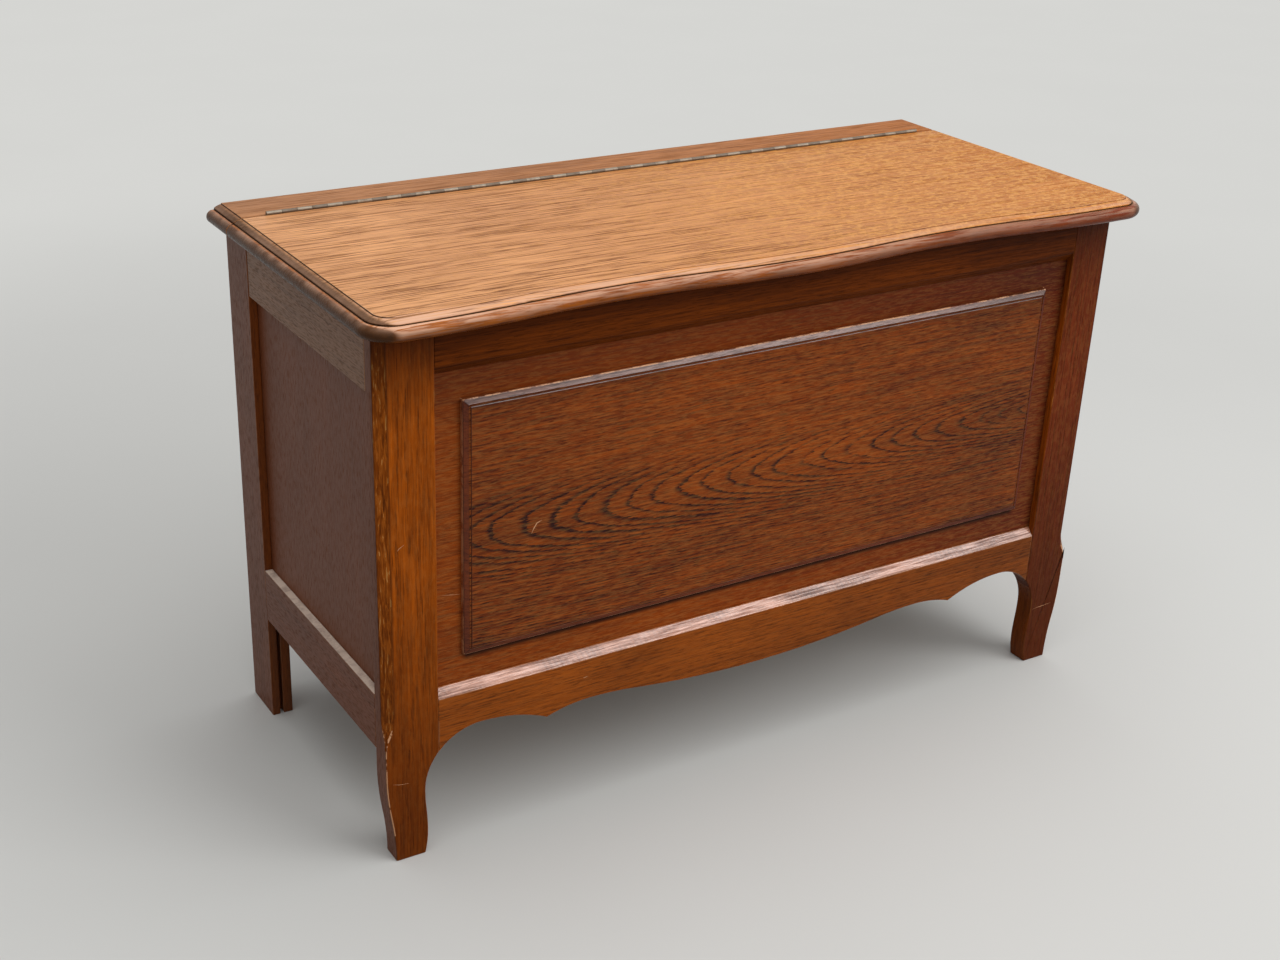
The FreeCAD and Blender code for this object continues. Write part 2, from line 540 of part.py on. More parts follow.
def side_rails(side):
    name = SIDE_NAMES[side]
    outer = f"{side} * {SIDE}"
    thick = reach(outer, -side, "0", "Size.frame_thick")
    tongue = reach(outer, -side, TONGUE_NEAR, THIN_FAR)
    groove = reach(outer, -side, "Size.groove_offset", THIN_GROOVE_FAR)
    tongue_y = (f"{FRONT_INNER} - {TONGUE}", f"{REAR_POST} + {TONGUE}")
    shoulder = f"{REAR_POST} - Size.open_joint" if side < 0 else REAR_POST
    groove_y = (f"{FRONT_INNER} - {TONGUE} - {PAST}", f"{REAR_POST} + {TONGUE} + {PAST}")
    lower_groove = reach(BOTTOM_RAIL_TOP, -1, f"(-{PAST})", "Size.groove_depth")
    upper_groove = reach(TOP_RAIL_LOW, 1, f"(-{PAST})", "Size.groove_depth")

    body = new_body(f"{name}_top_rail")
    block(body, "Board", thick, (FRONT_INNER, shoulder), (TOP_RAIL_LOW, TOP))
    block(body, "Tongues", tongue, tongue_y, (TOP_RAIL_LOW, TOP))
    block(body, "Groove", groove, groove_y, upper_groove, cut=True)

    body = new_body(f"{name}_bottom_rail")
    block(body, "Board", thick, (FRONT_INNER, REAR_POST), (RAIL_FLOOR, BOTTOM_RAIL_TOP))
    block(body, "Tongues", tongue, tongue_y, (RAIL_FLOOR, BOTTOM_RAIL_TOP))
    block(body, "Groove", groove, groove_y, lower_groove, cut=True)
    first_screw = (f"{side} * {FRAME_INNER}", SHORT_SCREW_Y, CLEAT_SCREW_Z)
    holes(body, first_screw, "-X" if side < 0 else "+X", CLEAT_BITE, CLEAT_HOLE, SHORT_ROW)

    body = new_body(f"{name}_panel")
    block(body, "Sheet", tongue, (f"{FRONT_INNER} - {ENTRY}", f"{REAR_POST} + {ENTRY}"),
          (f"{BOTTOM_RAIL_TOP} - {ENTRY}", f"{TOP_RAIL_LOW} + {ENTRY}"))


# Back: the same construction, flush with the back face

def back_frame():
    thick = (BACK_INNER, BACK)
    tongue = reach(BACK, -1, TONGUE_NEAR, THIN_FAR)
    groove = reach(BACK, -1, "Size.groove_offset", THIN_GROOVE_FAR)
    reach_x = even(f"{FRAME_INNER} + {TONGUE}")
    groove_x = even(f"{FRAME_INNER} + {TONGUE} + {PAST}")
    lower_groove = reach(BOTTOM_RAIL_TOP, -1, f"(-{PAST})", "Size.groove_depth")
    upper_groove = reach(TOP_RAIL_LOW, 1, f"(-{PAST})", "Size.groove_depth")

    body = new_body("back_top_rail")
    block(body, "Board", even(FRAME_INNER), thick, (TOP_RAIL_LOW, TOP))
    block(body, "Tongues", reach_x, tongue, (TOP_RAIL_LOW, TOP))
    block(body, "Groove", groove_x, groove, upper_groove, cut=True)
    first_dowel = (f"-{DOWEL_X}", DOWEL_Y, f"{TOP} - Size.dowel_rail")
    holes(body, first_dowel, "+Z", "Size.dowel_rail", DOWEL_HOLE, DOWEL_ROW)

    body = new_body("back_bottom_rail")
    block(body, "Board", even(FRAME_INNER), thick, (RAIL_FLOOR, BOTTOM_RAIL_TOP))
    block(body, "Tongues", reach_x, tongue, (RAIL_FLOOR, BOTTOM_RAIL_TOP))
    block(body, "Groove", groove_x, groove, lower_groove, cut=True)
    first_screw = (f"-{LONG_SCREW_X}", BACK_INNER, CLEAT_SCREW_Z)
    holes(body, first_screw, "+Y", CLEAT_BITE, CLEAT_HOLE, LONG_ROW)

    body = new_body("back_panel")
    block(body, "Sheet", even(f"{FRAME_INNER} + {ENTRY}"), tongue,
          (f"{BOTTOM_RAIL_TOP} - {ENTRY}", f"{TOP_RAIL_LOW} + {ENTRY}"))


# Bottom board on four cleats screwed to the bottom rails

def bottom():
    body = new_body("bottom_board")
    block(body, "Sheet", even(f"{FRAME_INNER} - Size.board_room"),
          (f"{FRONT_INNER} + Size.board_room", f"{BACK_INNER} - Size.board_room"),
          (BOARD_LOW, f"{BOARD_LOW} + Size.board_thick"))


def cleat(name, x, y, first_screw, aim, repeat):
    body = new_body(f"{name}_cleat")
    block(body, "Batten", x, y, (CLEAT_LOW, BOARD_LOW))
    screw_sinks(body, first_screw, aim, "cleat", "Size.cleat_wide", repeat)
    screw(new_body(f"{name}_cleat_screws"), first_screw, aim, "cleat", repeat)


def cleats():
    cleat("front", even(FRAME_INNER), (FRONT_INNER, SHORT_CLEAT_FRONT),
          (f"-{LONG_SCREW_X}", SHORT_CLEAT_FRONT, CLEAT_SCREW_Z), "-Y", LONG_ROW)
    cleat("back", even(FRAME_INNER), (SHORT_CLEAT_BACK, BACK_INNER),
          (f"-{LONG_SCREW_X}", SHORT_CLEAT_BACK, CLEAT_SCREW_Z), "+Y", LONG_ROW)
    for side, name in SIDE_NAMES.items():
        inner = f"{side} * ({FRAME_INNER} - Size.cleat_wide)"
        cleat(name, reach(f"{side} * {FRAME_INNER}", -side, "0", "Size.cleat_wide"),
              (SHORT_CLEAT_FRONT, SHORT_CLEAT_BACK), (inner, SHORT_SCREW_Y, CLEAT_SCREW_Z),
              "-X" if side < 0 else "+X", SHORT_ROW)


# Top: fixed strip and lid with the same moulded edge

def moulding(side):
    """What is cut from the square edge of the top at one end, in x and z."""
    def inward(offset):
        return f"{side} * ({EDGE} - ({offset}))"

    flat = f"{NOSE} + Size.nose_step"
    ovolo_low = f"{TOP} + 2 * {NOSE} + Size.quirk_step"
    far = f"{flat} + Size.ovolo_wide"
    return [
        (inward(NOSE), f"{TOP} - {PAST}"),
        (inward(NOSE), TOP, NOSE, side),
        (inward("0"), f"{TOP} + {NOSE}", NOSE, side),
        (inward(NOSE), f"{TOP} + 2 * {NOSE}"),
        (inward(flat), f"{TOP} + 2 * {NOSE}"),
        (inward(flat), ovolo_low, "Size.ovolo_radius", side),
        (inward(far), f"{LID_TOP} - Size.fillet_step"),
        (inward(far), f"{LID_TOP} + {PAST}"),
        (inward(f"-{PAST}"), f"{LID_TOP} + {PAST}"),
        (inward(f"-{PAST}"), f"{TOP} - {PAST}"),
    ]


def ease_seam(body, face, way):
    """Small bevel on the upper edge beside the hinge."""
    low = f"{LID_TOP} - Size.seam_bevel - {PAST}"
    high = f"{LID_TOP} + {PAST}"
    outside = f"{face} - {way} * {PAST}"
    inside = f"{face} + {way} * (Size.seam_bevel + {PAST})"
    sketch = outline(body, "SeamSection", "YZ_Plane", [(outside, low), (inside, high), (outside, high)])
    pocket(body, "SeamBevel", sketch, "2 * Size.body_width")


def rear_top_strip():
    body = new_body("rear_top_strip")
    block(body, "Board", even(EDGE), (STRIP_FRONT, f"{BACK} + Size.back_overhang"), (TOP, LID_TOP))
    for side in SIDE_NAMES:
        section = outline(body, "MouldingSection", "XZ_Plane", moulding(side))
        pocket(body, "Moulding", section, "4 * Size.body_depth")
    ease_seam(body, STRIP_FRONT, 1)
    first_screw = (f"-{HINGE_SCREW_X}", STRIP_FRONT, HINGE_SCREW_Z)
    holes(body, first_screw, "+Y", HINGE_BITE, HINGE_HOLE, HINGE_ROW)
    holes(body, (f"-{DOWEL_X}", DOWEL_Y, TOP), "+Z", "Size.dowel_strip", DOWEL_HOLE, DOWEL_ROW)


def strip_dowels():
    body = new_body("strip_dowels")
    dowel = rod(body, "Dowel", (f"-{DOWEL_X}", DOWEL_Y, f"{TOP} - Size.dowel_rail"), "+Z",
                "Size.dowel_rail + Size.dowel_strip", "Size.dowel_radius")
    row(body, "Dowels", [dowel], *DOWEL_ROW)


def lid_plan(rear):
    """Corners of the lid's outline from its left rear corner round the front to its right rear corner."""
    wave = f"(({EDGE} - Size.lid_corner - Size.lobe_flat) / 2)"
    wave_radius = f"(({wave} / 2)^2 + (Size.wave_depth / 2)^2) / Size.wave_depth"
    middle = f"{LID_FRONT} + Size.wave_depth / 2"
    bend = f"{LID_FRONT} + Size.lid_corner"
    inner = f"({EDGE} - Size.lid_corner)"
    return [
        (f"-{EDGE}", rear),
        (f"-{EDGE}", bend, "Size.lid_corner", 1),
        (f"-{inner}", LID_FRONT),
        (f"-2 * {wave}", LID_FRONT, wave_radius, 1),
        (f"-1.5 * {wave}", middle, wave_radius, -1),
        (f"-0.5 * {wave}", middle, wave_radius, 1),
        (f"0.5 * {wave}", middle, wave_radius, -1),
        (f"1.5 * {wave}", middle, wave_radius, 1),
        (f"2 * {wave}", LID_FRONT),
        (inner, LID_FRONT, "Size.lid_corner", 1),
        (EDGE, bend),
        (EDGE, rear),
    ]


def lid_board():
    body = new_body("lid_board")
    plan = outline(body, "Plan", "XY_Plane", lid_plan(LID_REAR))
    plan.setExpression("AttachmentOffset.Base.z", f"{TOP} + Size.lid_gap")
    pad(body, "Board", plan, "Size.lid_thick - Size.lid_gap")
    start = f"{LID_REAR} + {PAST}"
    path = outline(body, "Path", "XY_Plane", lid_plan(start), closed=False)
    path.setExpression("AttachmentOffset.Base.z", TOP)
    section = outline(body, "MouldingSection", "XZ_Plane", moulding(-1))
    section.setExpression("AttachmentOffset.Base.z", f"-({start})")
    doc.recompute()
    edge = body.newObject("PartDesign::SubtractivePipe", "Moulding")
    edge.Profile = section
    edge.Spine = (path, [f"Edge{i}" for i in range(1, len(path.Shape.Edges) + 1)])
    ease_seam(body, LID_REAR, -1)
    first_screw = (f"-{HINGE_SCREW_X}", LID_REAR, HINGE_SCREW_Z)
    holes(body, first_screw, "-Y", HINGE_BITE, HINGE_HOLE, HINGE_ROW)


# Continuous hinge: leaves between the edges of strip and lid, knuckles standing just above the top

def knuckle_section(body, way):
    """A round knuckle with its neck, which runs down into the leaf."""
    def out(distance):
        return f"{AXIS_Y} + {way} * ({distance})"

    near = "Size.leaf_gap / 2"
    far = "(Size.leaf_gap / 2 + Size.leaf_thick)"
    low = f"{LEAF_TOP} - Size.leaf_thick"
    radius = "Size.barrel_radius"
    return outline(body, "KnuckleSection", "YZ_Plane", [
        (out(near), low),
        (out(far), low),
        (out(far), f"{AXIS_Z} - sqrt({radius}^2 - {far}^2)", radius, way),
        (out("0"), f"{AXIS_Z} + {radius}", radius, way),
        (out(f"-{radius}"), AXIS_Z, radius, way),
        (out(near), f"{AXIS_Z} - sqrt({radius}^2 - ({near})^2)"),
    ])


def hinge_leaf(label, way, first, count):
    """Leaf on the strip's side (1) or the lid's side (-1), with every second knuckle from the first."""
    body = new_body(label)
    plate_y = reach(AXIS_Y, way, "Size.leaf_gap / 2", "(Size.leaf_gap / 2 + Size.leaf_thick)")
    block(body, "Plate", even(HINGE_HALF), plate_y, (f"{LEAF_TOP} - Size.leaf_high", LEAF_TOP))
    knuckle = pad(body, "Knuckle", knuckle_section(body, way), f"{KNUCKLE_PITCH} - Size.knuckle_gap")
    knuckle.Profile[0].setExpression(
        "AttachmentOffset.Base.z",
        f"{first} * {KNUCKLE_PITCH} - {HINGE_HALF} + Size.knuckle_gap / 2")
    row(body, "Knuckles", [knuckle], "X_Axis", f"2 * {KNUCKLE_PITCH} * ({count} - 1)", count)
    rod(body, "Bore", (f"-{HINGE_HALF} - {PAST}", AXIS_Y, AXIS_Z), "+X",
        f"2 * {HINGE_HALF} + 2 * {PAST}", BORE, cut=True)
    aim = "+Y" if way > 0 else "-Y"
    face = f"{AXIS_Y} + {way} * Size.leaf_gap / 2"
    first_screw = (f"-{HINGE_SCREW_X}", face, HINGE_SCREW_Z)
    screw_sinks(body, first_screw, aim, "hinge", None, HINGE_ROW)
    screw(new_body(f"{label}_screws"), first_screw, aim, "hinge", HINGE_ROW)


def hinge_pin():
    body = new_body("hinge_pin")
    left_end = (f"-{HINGE_HALF}", AXIS_Y, AXIS_Z)
    rod(body, "Pin", left_end, "+X", f"2 * {HINGE_HALF}", "Size.pin_radius")


for chest_side in SIDE_NAMES:
    front_post(chest_side)
    rear_post(chest_side)
    side_rails(chest_side)
front_top_rail()
front_apron_rail()
front_panel()
back_frame()
bottom()
cleats()
rear_top_strip()
strip_dowels()
lid_board()
hinge_leaf("hinge_fixed_leaf", 1, 0, "(Size.knuckle_pairs + 1)")
hinge_leaf("hinge_lid_leaf", -1, 1, "Size.knuckle_pairs")
hinge_pin()
doc.recompute()

# Every object has to be sound, and every cut has to remove something, before anything is written
faults = [f"{item.Label}: {item.State}" for item in doc.Objects if {"Invalid", "Error"} & set(item.State)]
for item in doc.Objects:
    if item.TypeId == "PartDesign::Pocket" or "Subtractive" in item.TypeId:
        if item.Shape.Volume > item.BaseFeature.Shape.Volume - 1e-6:
            faults.append(f"{item.Label}: nothing cut")
bodies = [item for item in doc.Objects if item.TypeId == "PartDesign::Body"]
for piece in bodies:
    if piece.Shape.isNull() or not piece.Shape.isValid() or not piece.Shape.Solids:
        faults.append(f"{piece.Label}: no valid solid")
if faults:
    raise RuntimeError("; ".join(faults))

os.makedirs("parts", exist_ok=True)
for piece in bodies:
    piece.Shape.exportStep(f"parts/{piece.Label}.step")
    print(f"{piece.Label}: {len(piece.Shape.Solids)} solid(s), {piece.Shape.Volume / 1000:.1f} cm3")
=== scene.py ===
"""Oak blanket chest: worked edges, grain, a moulded lid, a continuous hinge, screws and a plain studio.

The packed solids give every place and size, in metres: +X to the right, the front faces -Y, +Z up.
"""

import json
import math
from functools import partial

import bmesh
import bpy
from bpy.props import FloatProperty, FloatVectorProperty, IntProperty, PointerProperty
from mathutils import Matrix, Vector


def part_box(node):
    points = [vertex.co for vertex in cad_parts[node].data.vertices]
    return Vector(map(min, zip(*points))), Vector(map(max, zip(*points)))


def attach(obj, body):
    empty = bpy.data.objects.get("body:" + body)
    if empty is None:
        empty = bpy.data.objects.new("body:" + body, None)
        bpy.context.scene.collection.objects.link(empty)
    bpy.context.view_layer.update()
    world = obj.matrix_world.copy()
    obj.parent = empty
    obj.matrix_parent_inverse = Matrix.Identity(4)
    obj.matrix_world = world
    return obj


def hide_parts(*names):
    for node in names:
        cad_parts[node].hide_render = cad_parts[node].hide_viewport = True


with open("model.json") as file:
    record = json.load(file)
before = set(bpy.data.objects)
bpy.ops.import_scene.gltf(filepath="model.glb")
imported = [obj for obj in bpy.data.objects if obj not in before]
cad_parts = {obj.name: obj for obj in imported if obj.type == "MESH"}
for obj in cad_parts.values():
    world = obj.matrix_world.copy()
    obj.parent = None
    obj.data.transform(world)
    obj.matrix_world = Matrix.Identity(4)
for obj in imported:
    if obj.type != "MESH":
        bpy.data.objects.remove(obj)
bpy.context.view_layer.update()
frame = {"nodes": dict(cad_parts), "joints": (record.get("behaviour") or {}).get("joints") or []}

bl_info = {
    "name": "Oak Blanket Chest",
    "version": (1, 0, 0),
    "blender": (4, 5, 0),
    "location": "View3D > Sidebar > Chest",
    "description": "Dresses the packed oak chest with worked edges, grain, hinge, screws and a studio",
    "category": "Object",
}

MM = 0.001
LID_LOW, LID_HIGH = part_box("lid_board")
STRIP_LOW, STRIP_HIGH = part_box("rear_top_strip")
LEAF_LOW, LEAF_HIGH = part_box("hinge_fixed_leaf")
# Share of a face's direction that lies along an axis when the face is square to it, or hardly turned to it
SQUARE, HARDLY = 0.9, 0.2
# Nodes that come up often, each under a word for what it does, with its settings. Range and fade take a value, the
# two ends that it runs between and what these ends become, which is 0 and 1 unless given.
NODES = {
    "split": ("ShaderNodeSeparateXYZ", {}),
    "join": ("ShaderNodeCombineXYZ", {}),
    "stretch": ("ShaderNodeMapping", {}),
    "noise": ("ShaderNodeTexNoise", {}),
    "mark": ("ShaderNodeAttribute", {}),
    "bump": ("ShaderNodeBump", {}),
    "surface": ("ShaderNodeBsdfPrincipled", {}),
    "range": ("ShaderNodeMapRange", {}),
    "fade": ("ShaderNodeMapRange", {"interpolation_type": "SMOOTHSTEP"}),
    "blend": ("ShaderNodeMix", {"data_type": "RGBA"}),
    "distance": ("ShaderNodeVectorMath", {"operation": "LENGTH"}),
    "amount": ("ShaderNodeMath", {"operation": "ABSOLUTE"}),
    "plus": ("ShaderNodeMath", {"operation": "ADD"}),
    "less": ("ShaderNodeMath", {"operation": "SUBTRACT"}),
    "times": ("ShaderNodeMath", {"operation": "MULTIPLY"}),
    "times_plus": ("ShaderNodeMath", {"operation": "MULTIPLY_ADD"}),
    "larger": ("ShaderNodeMath", {"operation": "MAXIMUM"}),
}


def linear(code):
    """Linear colour of an sRGB hex code."""
    parts = [int(code[i:i + 2], 16) / 255 for i in (1, 3, 5)]
    return [c / 12.92 if c <= 0.04045 else ((c + 0.055) / 1.055) ** 2.4 for c in parts] + [1.0]


def length(name, description, size):
    """A length in the sidebar, given in millimetres."""
    return FloatProperty(name=name, description=description, default=size * MM, unit="LENGTH", precision=5)


def tint(name, description, code):
    """A colour in the sidebar, given as a hex code."""
    return FloatVectorProperty(name=name, description=description, default=linear(code), size=4, subtype="COLOR",
                               min=0, max=1)


# Sizes and colours a user would change

class CHEST_PG_joinery(bpy.types.PropertyGroup):
    """Sizes of the worked edges, the lid's plan and its moulding."""
    arris: length("Arris", "Eased edges of posts and rails", 0.8)
    fine_arris: length("Fine arris", "Eased edges of the raised field", 1.0)
    seam: length("Seam bevel", "Upper edges of strip and lid beside the hinge", 1.5)
    corner: length("Lid corner", "Radius of the lid's front corners", 34)
    lobe_flat: length("Lobe flat", "Straight stretch beside each front corner", 29)
    wave: length("Wave depth", "Hollows of the lid's front behind its lobes", 10.5)
    nose: length("Nose radius", "Half-round nose at the edge of the top", 7.1)
    nose_step: length("Nose step", "Flat on top of the nose", 1.5)
    quirk: length("Quirk", "Step above the nose", 1.6)
    ovolo_high: length("Ovolo height", "Shallow round above the quirk", 3.2)
    ovolo_wide: length("Ovolo width", "The same round on plan", 8)
    ovolo_radius: length("Ovolo radius", "Radius of the shallow round", 18)
    fillet: length("Fillet", "Small step at the edge of the flat top", 1)


class CHEST_PG_finish(bpy.types.PropertyGroup):
    """Stains of the oak boards, some with painted light and shade in them, and the colours of the plain parts."""
    # The lid's left end is paler than its right end
    lid_light: tint("Lid light", "Latewood of the lid's faded left end", "#F4B27A")
    lid_right: tint("Lid right", "Latewood of the lid's right end", "#D28030")
    lid_dark: tint("Lid dark", "Streaks and pores of the lid", "#7E4018")
    nose: tint("Nose light", "Left end of the nose of the moulding", "#B4621A")
    nose_right: tint("Nose right", "Red stain left on the nose's right end", "#80361A")
    nose_dark: tint("Nose dark", "Streaks of the nose", "#461808")
    # One pale colour for varnish rubbed thin and for painted highlights on the moulding
    bloom_and_highlight: tint("Bloom", "Varnish rubbed pale on the moulding", "#E2B090")
    # Deep stain in the end grain and painted shade on the moulding's ends, in one colour
    end_grain_and_shade: tint("End grain", "Deep stain in the moulding's end grain", "#40240A")
    strip_light: tint("Strip light", "Latewood of the strip's left end", "#C48A5E")
    strip_right: tint("Strip right", "Latewood of the strip's right end", "#BC7236")
    strip_dark: tint("Strip dark", "Streaks of the fixed strip", "#70401E")
    post_light: tint("Post light", "Latewood of the left post", "#C25E0A")
    # The right post is darker than the left
    right_post: tint("Right post", "Deeper stain of the right post", "#7E3210")
    post_dark: tint("Post dark", "Streaks of the front posts", "#4C1E04")
    rail_light: tint("Rail light", "Latewood of the apron rail", "#AC5612")
    # The top rail's colour holds its deeper stain and painted shade from the lid above it
    top_rail_stain_and_shade: tint("Top rail", "Deeper stain of the rail under the lid", "#7E3A08")
    rail_dark: tint("Rail dark", "Streaks of the front rails", "#421A04")
    panel_light: tint("Panel light", "Latewood of the raised field", "#A64E18")
    panel_dark: tint("Panel dark", "Ring lines of the raised field", "#301618")
    margin_light: tint("Margin light", "Panel round the raised field", "#BE580A")
    margin_right: tint("Margin right", "The same at the right end", "#8A3610")
    # The two bevel colours below are pale partly from rubbed varnish and partly as a painted reflection of the light
    # above
    ledge: tint("Ledges", "Rubbed bevel of the apron", "#DE9878")
    field_ledge_and_sheen: tint("Field bevel", "Rubbed bevel of the raised field", "#AE7662")
    field_side: tint("Field sides", "Bevel at the ends and foot of the raised field", "#96481E")
    flame: tint("Chamfer flames", "Rays that show on the posts' chamfers", "#C0661C")
    # The side colour is partly the sides' own stain and partly painted shade
    side_light_and_shade: tint("Side light", "Latewood of the side frames", "#804628")
    side_rail: tint("Side top rail", "Faded top rails of the sides", "#A4785A")
    # Painted light: the rear posts' edges that face the front are paler and warmer than the sides
    inner: tint("Inner edges", "Edges of the rear posts beside the panels", "#9C501A")
    side_dark: tint("Side dark", "Streaks of the side frames", "#44281A")
    ray: tint("Rays", "Pale ray flecks", "#E0A056")
    worn: tint("Worn wood", "Bare wood where edges are rubbed", "#DCA478")
    # One dark colour for soil and old polish in the quirks and for painted shade in quirks, along chamfers and below
    # the raised field
    grime_and_shade: tint("Grime", "Dirt and old polish in the quirks", "#2A140A")
    # One pale colour for dust on the ledges and a painted sheen of the light on them
    dust_and_sheen: tint("Dust", "Dust on level ledges", "#F2DECC")
    plywood: tint("Plywood", "Bare plywood of back and bottom", "#A8825A")
    pine: tint("Softwood", "Bare softwood of the cleats", "#C9A878")
    beech: tint("Beech", "Bare beech of the dowels", "#CDAA88")
    plate: tint("Hinge metal", "Aged plated steel of the fixed leaf", "#8A7E70")
    tarnish: tint("Tarnished metal", "The lid's leaf, where hands have taken the plating", "#72665A")
    screw: tint("Screw metal", "Plated steel of the screws", "#B4AEA4")


class CHEST_PG_screws(bpy.types.PropertyGroup):
    """Wood screws of the hinge and of the cleats."""
    hinge_count: IntProperty(name="Hinge screws", description="Screws in each leaf", default=9, min=2)
    hinge_end: length("Hinge screw end", "End of the leaf to its first screw", 25)
    hinge_head: length("Hinge head radius", "Countersunk head of a hinge screw", 2.8)
    hinge_sink: length("Hinge head depth", "Height of that head", 1.1)
    hinge_shank: length("Hinge shank radius", "Shank of a hinge screw", 1.5)
    hinge_long: length("Hinge screw length", "Length of a hinge screw", 16)
    cleat_head: length("Cleat head radius", "Countersunk head of a cleat screw", 4)
    cleat_sink: length("Cleat head depth", "Height of that head", 2.5)
    cleat_shank: length("Cleat shank radius", "Shank of a cleat screw", 2)
    cleat_long: length("Cleat screw length", "Length of a cleat screw", 32)


class CHEST_PG_studio(bpy.types.PropertyGroup):
    """Camera, lights and floor."""
    camera_place: FloatVectorProperty(name="Camera", description="Where the camera stands", subtype="TRANSLATION",
                                      unit="LENGTH", default=(-1.0430, -1.5317, 1.1114))
    camera_turn: FloatVectorProperty(name="Camera turn", description="How the camera is turned", subtype="EULER",
                                     default=[math.radians(a) for a in (64.601, -1.6327, -30.706)])
    lens: FloatProperty(name="Lens", description="Focal length in mm on a 36 mm wide frame", default=50.116)
    shift: FloatVectorProperty(name="Shift", description="Lens shift of the photograph's crop", size=2,
                               default=(0.0299, 0.0161))
    floor: tint("Floor", "Pale matt floor", "#D4D4D1")
    sky: FloatProperty(name="Sky", description="Even light from all round", default=0.34, min=0)
    top_light: FloatProperty(name="Top light", description="Power of the overhead diffuser", default=86, unit="POWER")
    key_light: FloatProperty(name="Key light", description="Power of the front diffuser", default=105, unit="POWER")


# Small helpers

def node(tree, kind, *inputs, **named):
    """Adds a node with its settings and links.

    Inputs come in the order of the sockets that the settings leave open, or by name; names that begin with a small
    letter are settings. A node is linked by its first open output, an output as it is, any other value is set.
    """
    kind, settings = NODES.get(kind, (kind, {}))
    made = tree.nodes.new(kind)
    for key, value in {**settings, **named}.items():
        if key[0].islower():
            setattr(made, key, value)
    given = list(zip((socket for socket in made.inputs if socket.enabled), inputs))
    given += [(made.inputs[key.replace("_", " ")], value) for key, value in named.items() if key[0].isupper()]
    for socket, value in given:
        if isinstance(value, bpy.types.Node):
            value = next(output for output in value.outputs if output.enabled)
        if isinstance(value, bpy.types.NodeSocket):
            tree.links.new(value, socket)
        else:
            socket.default_value = value
    return made


def blank_material(name):
    """A new material without nodes, and what adds a node to it."""
    material = bpy.data.materials.new(name)
    material.use_nodes = True
    material.node_tree.nodes.clear()
    return material, partial(node, material.node_tree)


def blank_tree(name, inputs, output):
    """A new tree of geometry nodes, what adds a node to it, and its inputs, which are given by label and kind."""
    tree = bpy.data.node_groups.new(name, "GeometryNodeTree")
    for label, kind in inputs.items():
        tree.interface.new_socket(label, in_out="INPUT", socket_type="NodeSocket" + kind)
    tree.interface.new_socket(output, in_out="OUTPUT", socket_type="NodeSocketGeometry")
    add = partial(node, tree)
    return tree, add, add("NodeGroupInput").outputs


def axes(along, lengthwise, across):
    """One value for the grain's axis and another for the two axes across it."""
    return tuple(lengthwise if axis == along else across for axis in "XYZ")


def drawn_out(add, spot, along, across, lengthwise, **look):
    """Noise drawn out along the grain, its lumps so many millimetres across it and lengthwise."""
    drawn = add("stretch", spot, Scale=axes(along, 1000 / lengthwise, 1000 / across))
    return add("noise", drawn, Scale=1, **look)


def seen_directly(add):
    """One for what the camera sees, in reflections too, and nought for light that bounces."""
    ray = add("ShaderNodeLightPath").outputs
    seen = add("larger", ray["Is Camera Ray"], ray["Is Glossy Ray"])
    return add("larger", seen, ray["Is Transmission Ray"])


def shade(colour, share):
    """A colour made darker or lighter."""
    return [min(1, c * share) for c in colour[:3]] + [1]


def placed(name, data):
    """A new object, put in the scene."""
    thing = bpy.data.objects.new(name, data)
    bpy.context.scene.collection.objects.link(thing)
    return thing


def dress(materials):
    """Gives packed solids their materials."""
    for name, material in materials.items():
        frame["nodes"][name].material_slots[0].material = material


def show(name, mesh, materials, body, replaced):
    """Makes a finished mesh a piece of the chest."""
    for material in materials:
        if material.name not in mesh.materials:
            mesh.materials.append(material)
    piece = placed(name, mesh)
    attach(piece, body)
    if replaced:
        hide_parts(*replaced)


def smooth_curves(mesh, fold=15):
    """Rounds the shading over shallow folds and keeps real edges crisp."""
    mesh.shade_smooth()
    mesh.set_sharp_from_angle(angle=math.radians(fold))


def evenly(first, last, count):
    """Places from the first to the last, evenly spaced."""
    return [first + (last - first) * i / (count - 1) for i in range(count)]


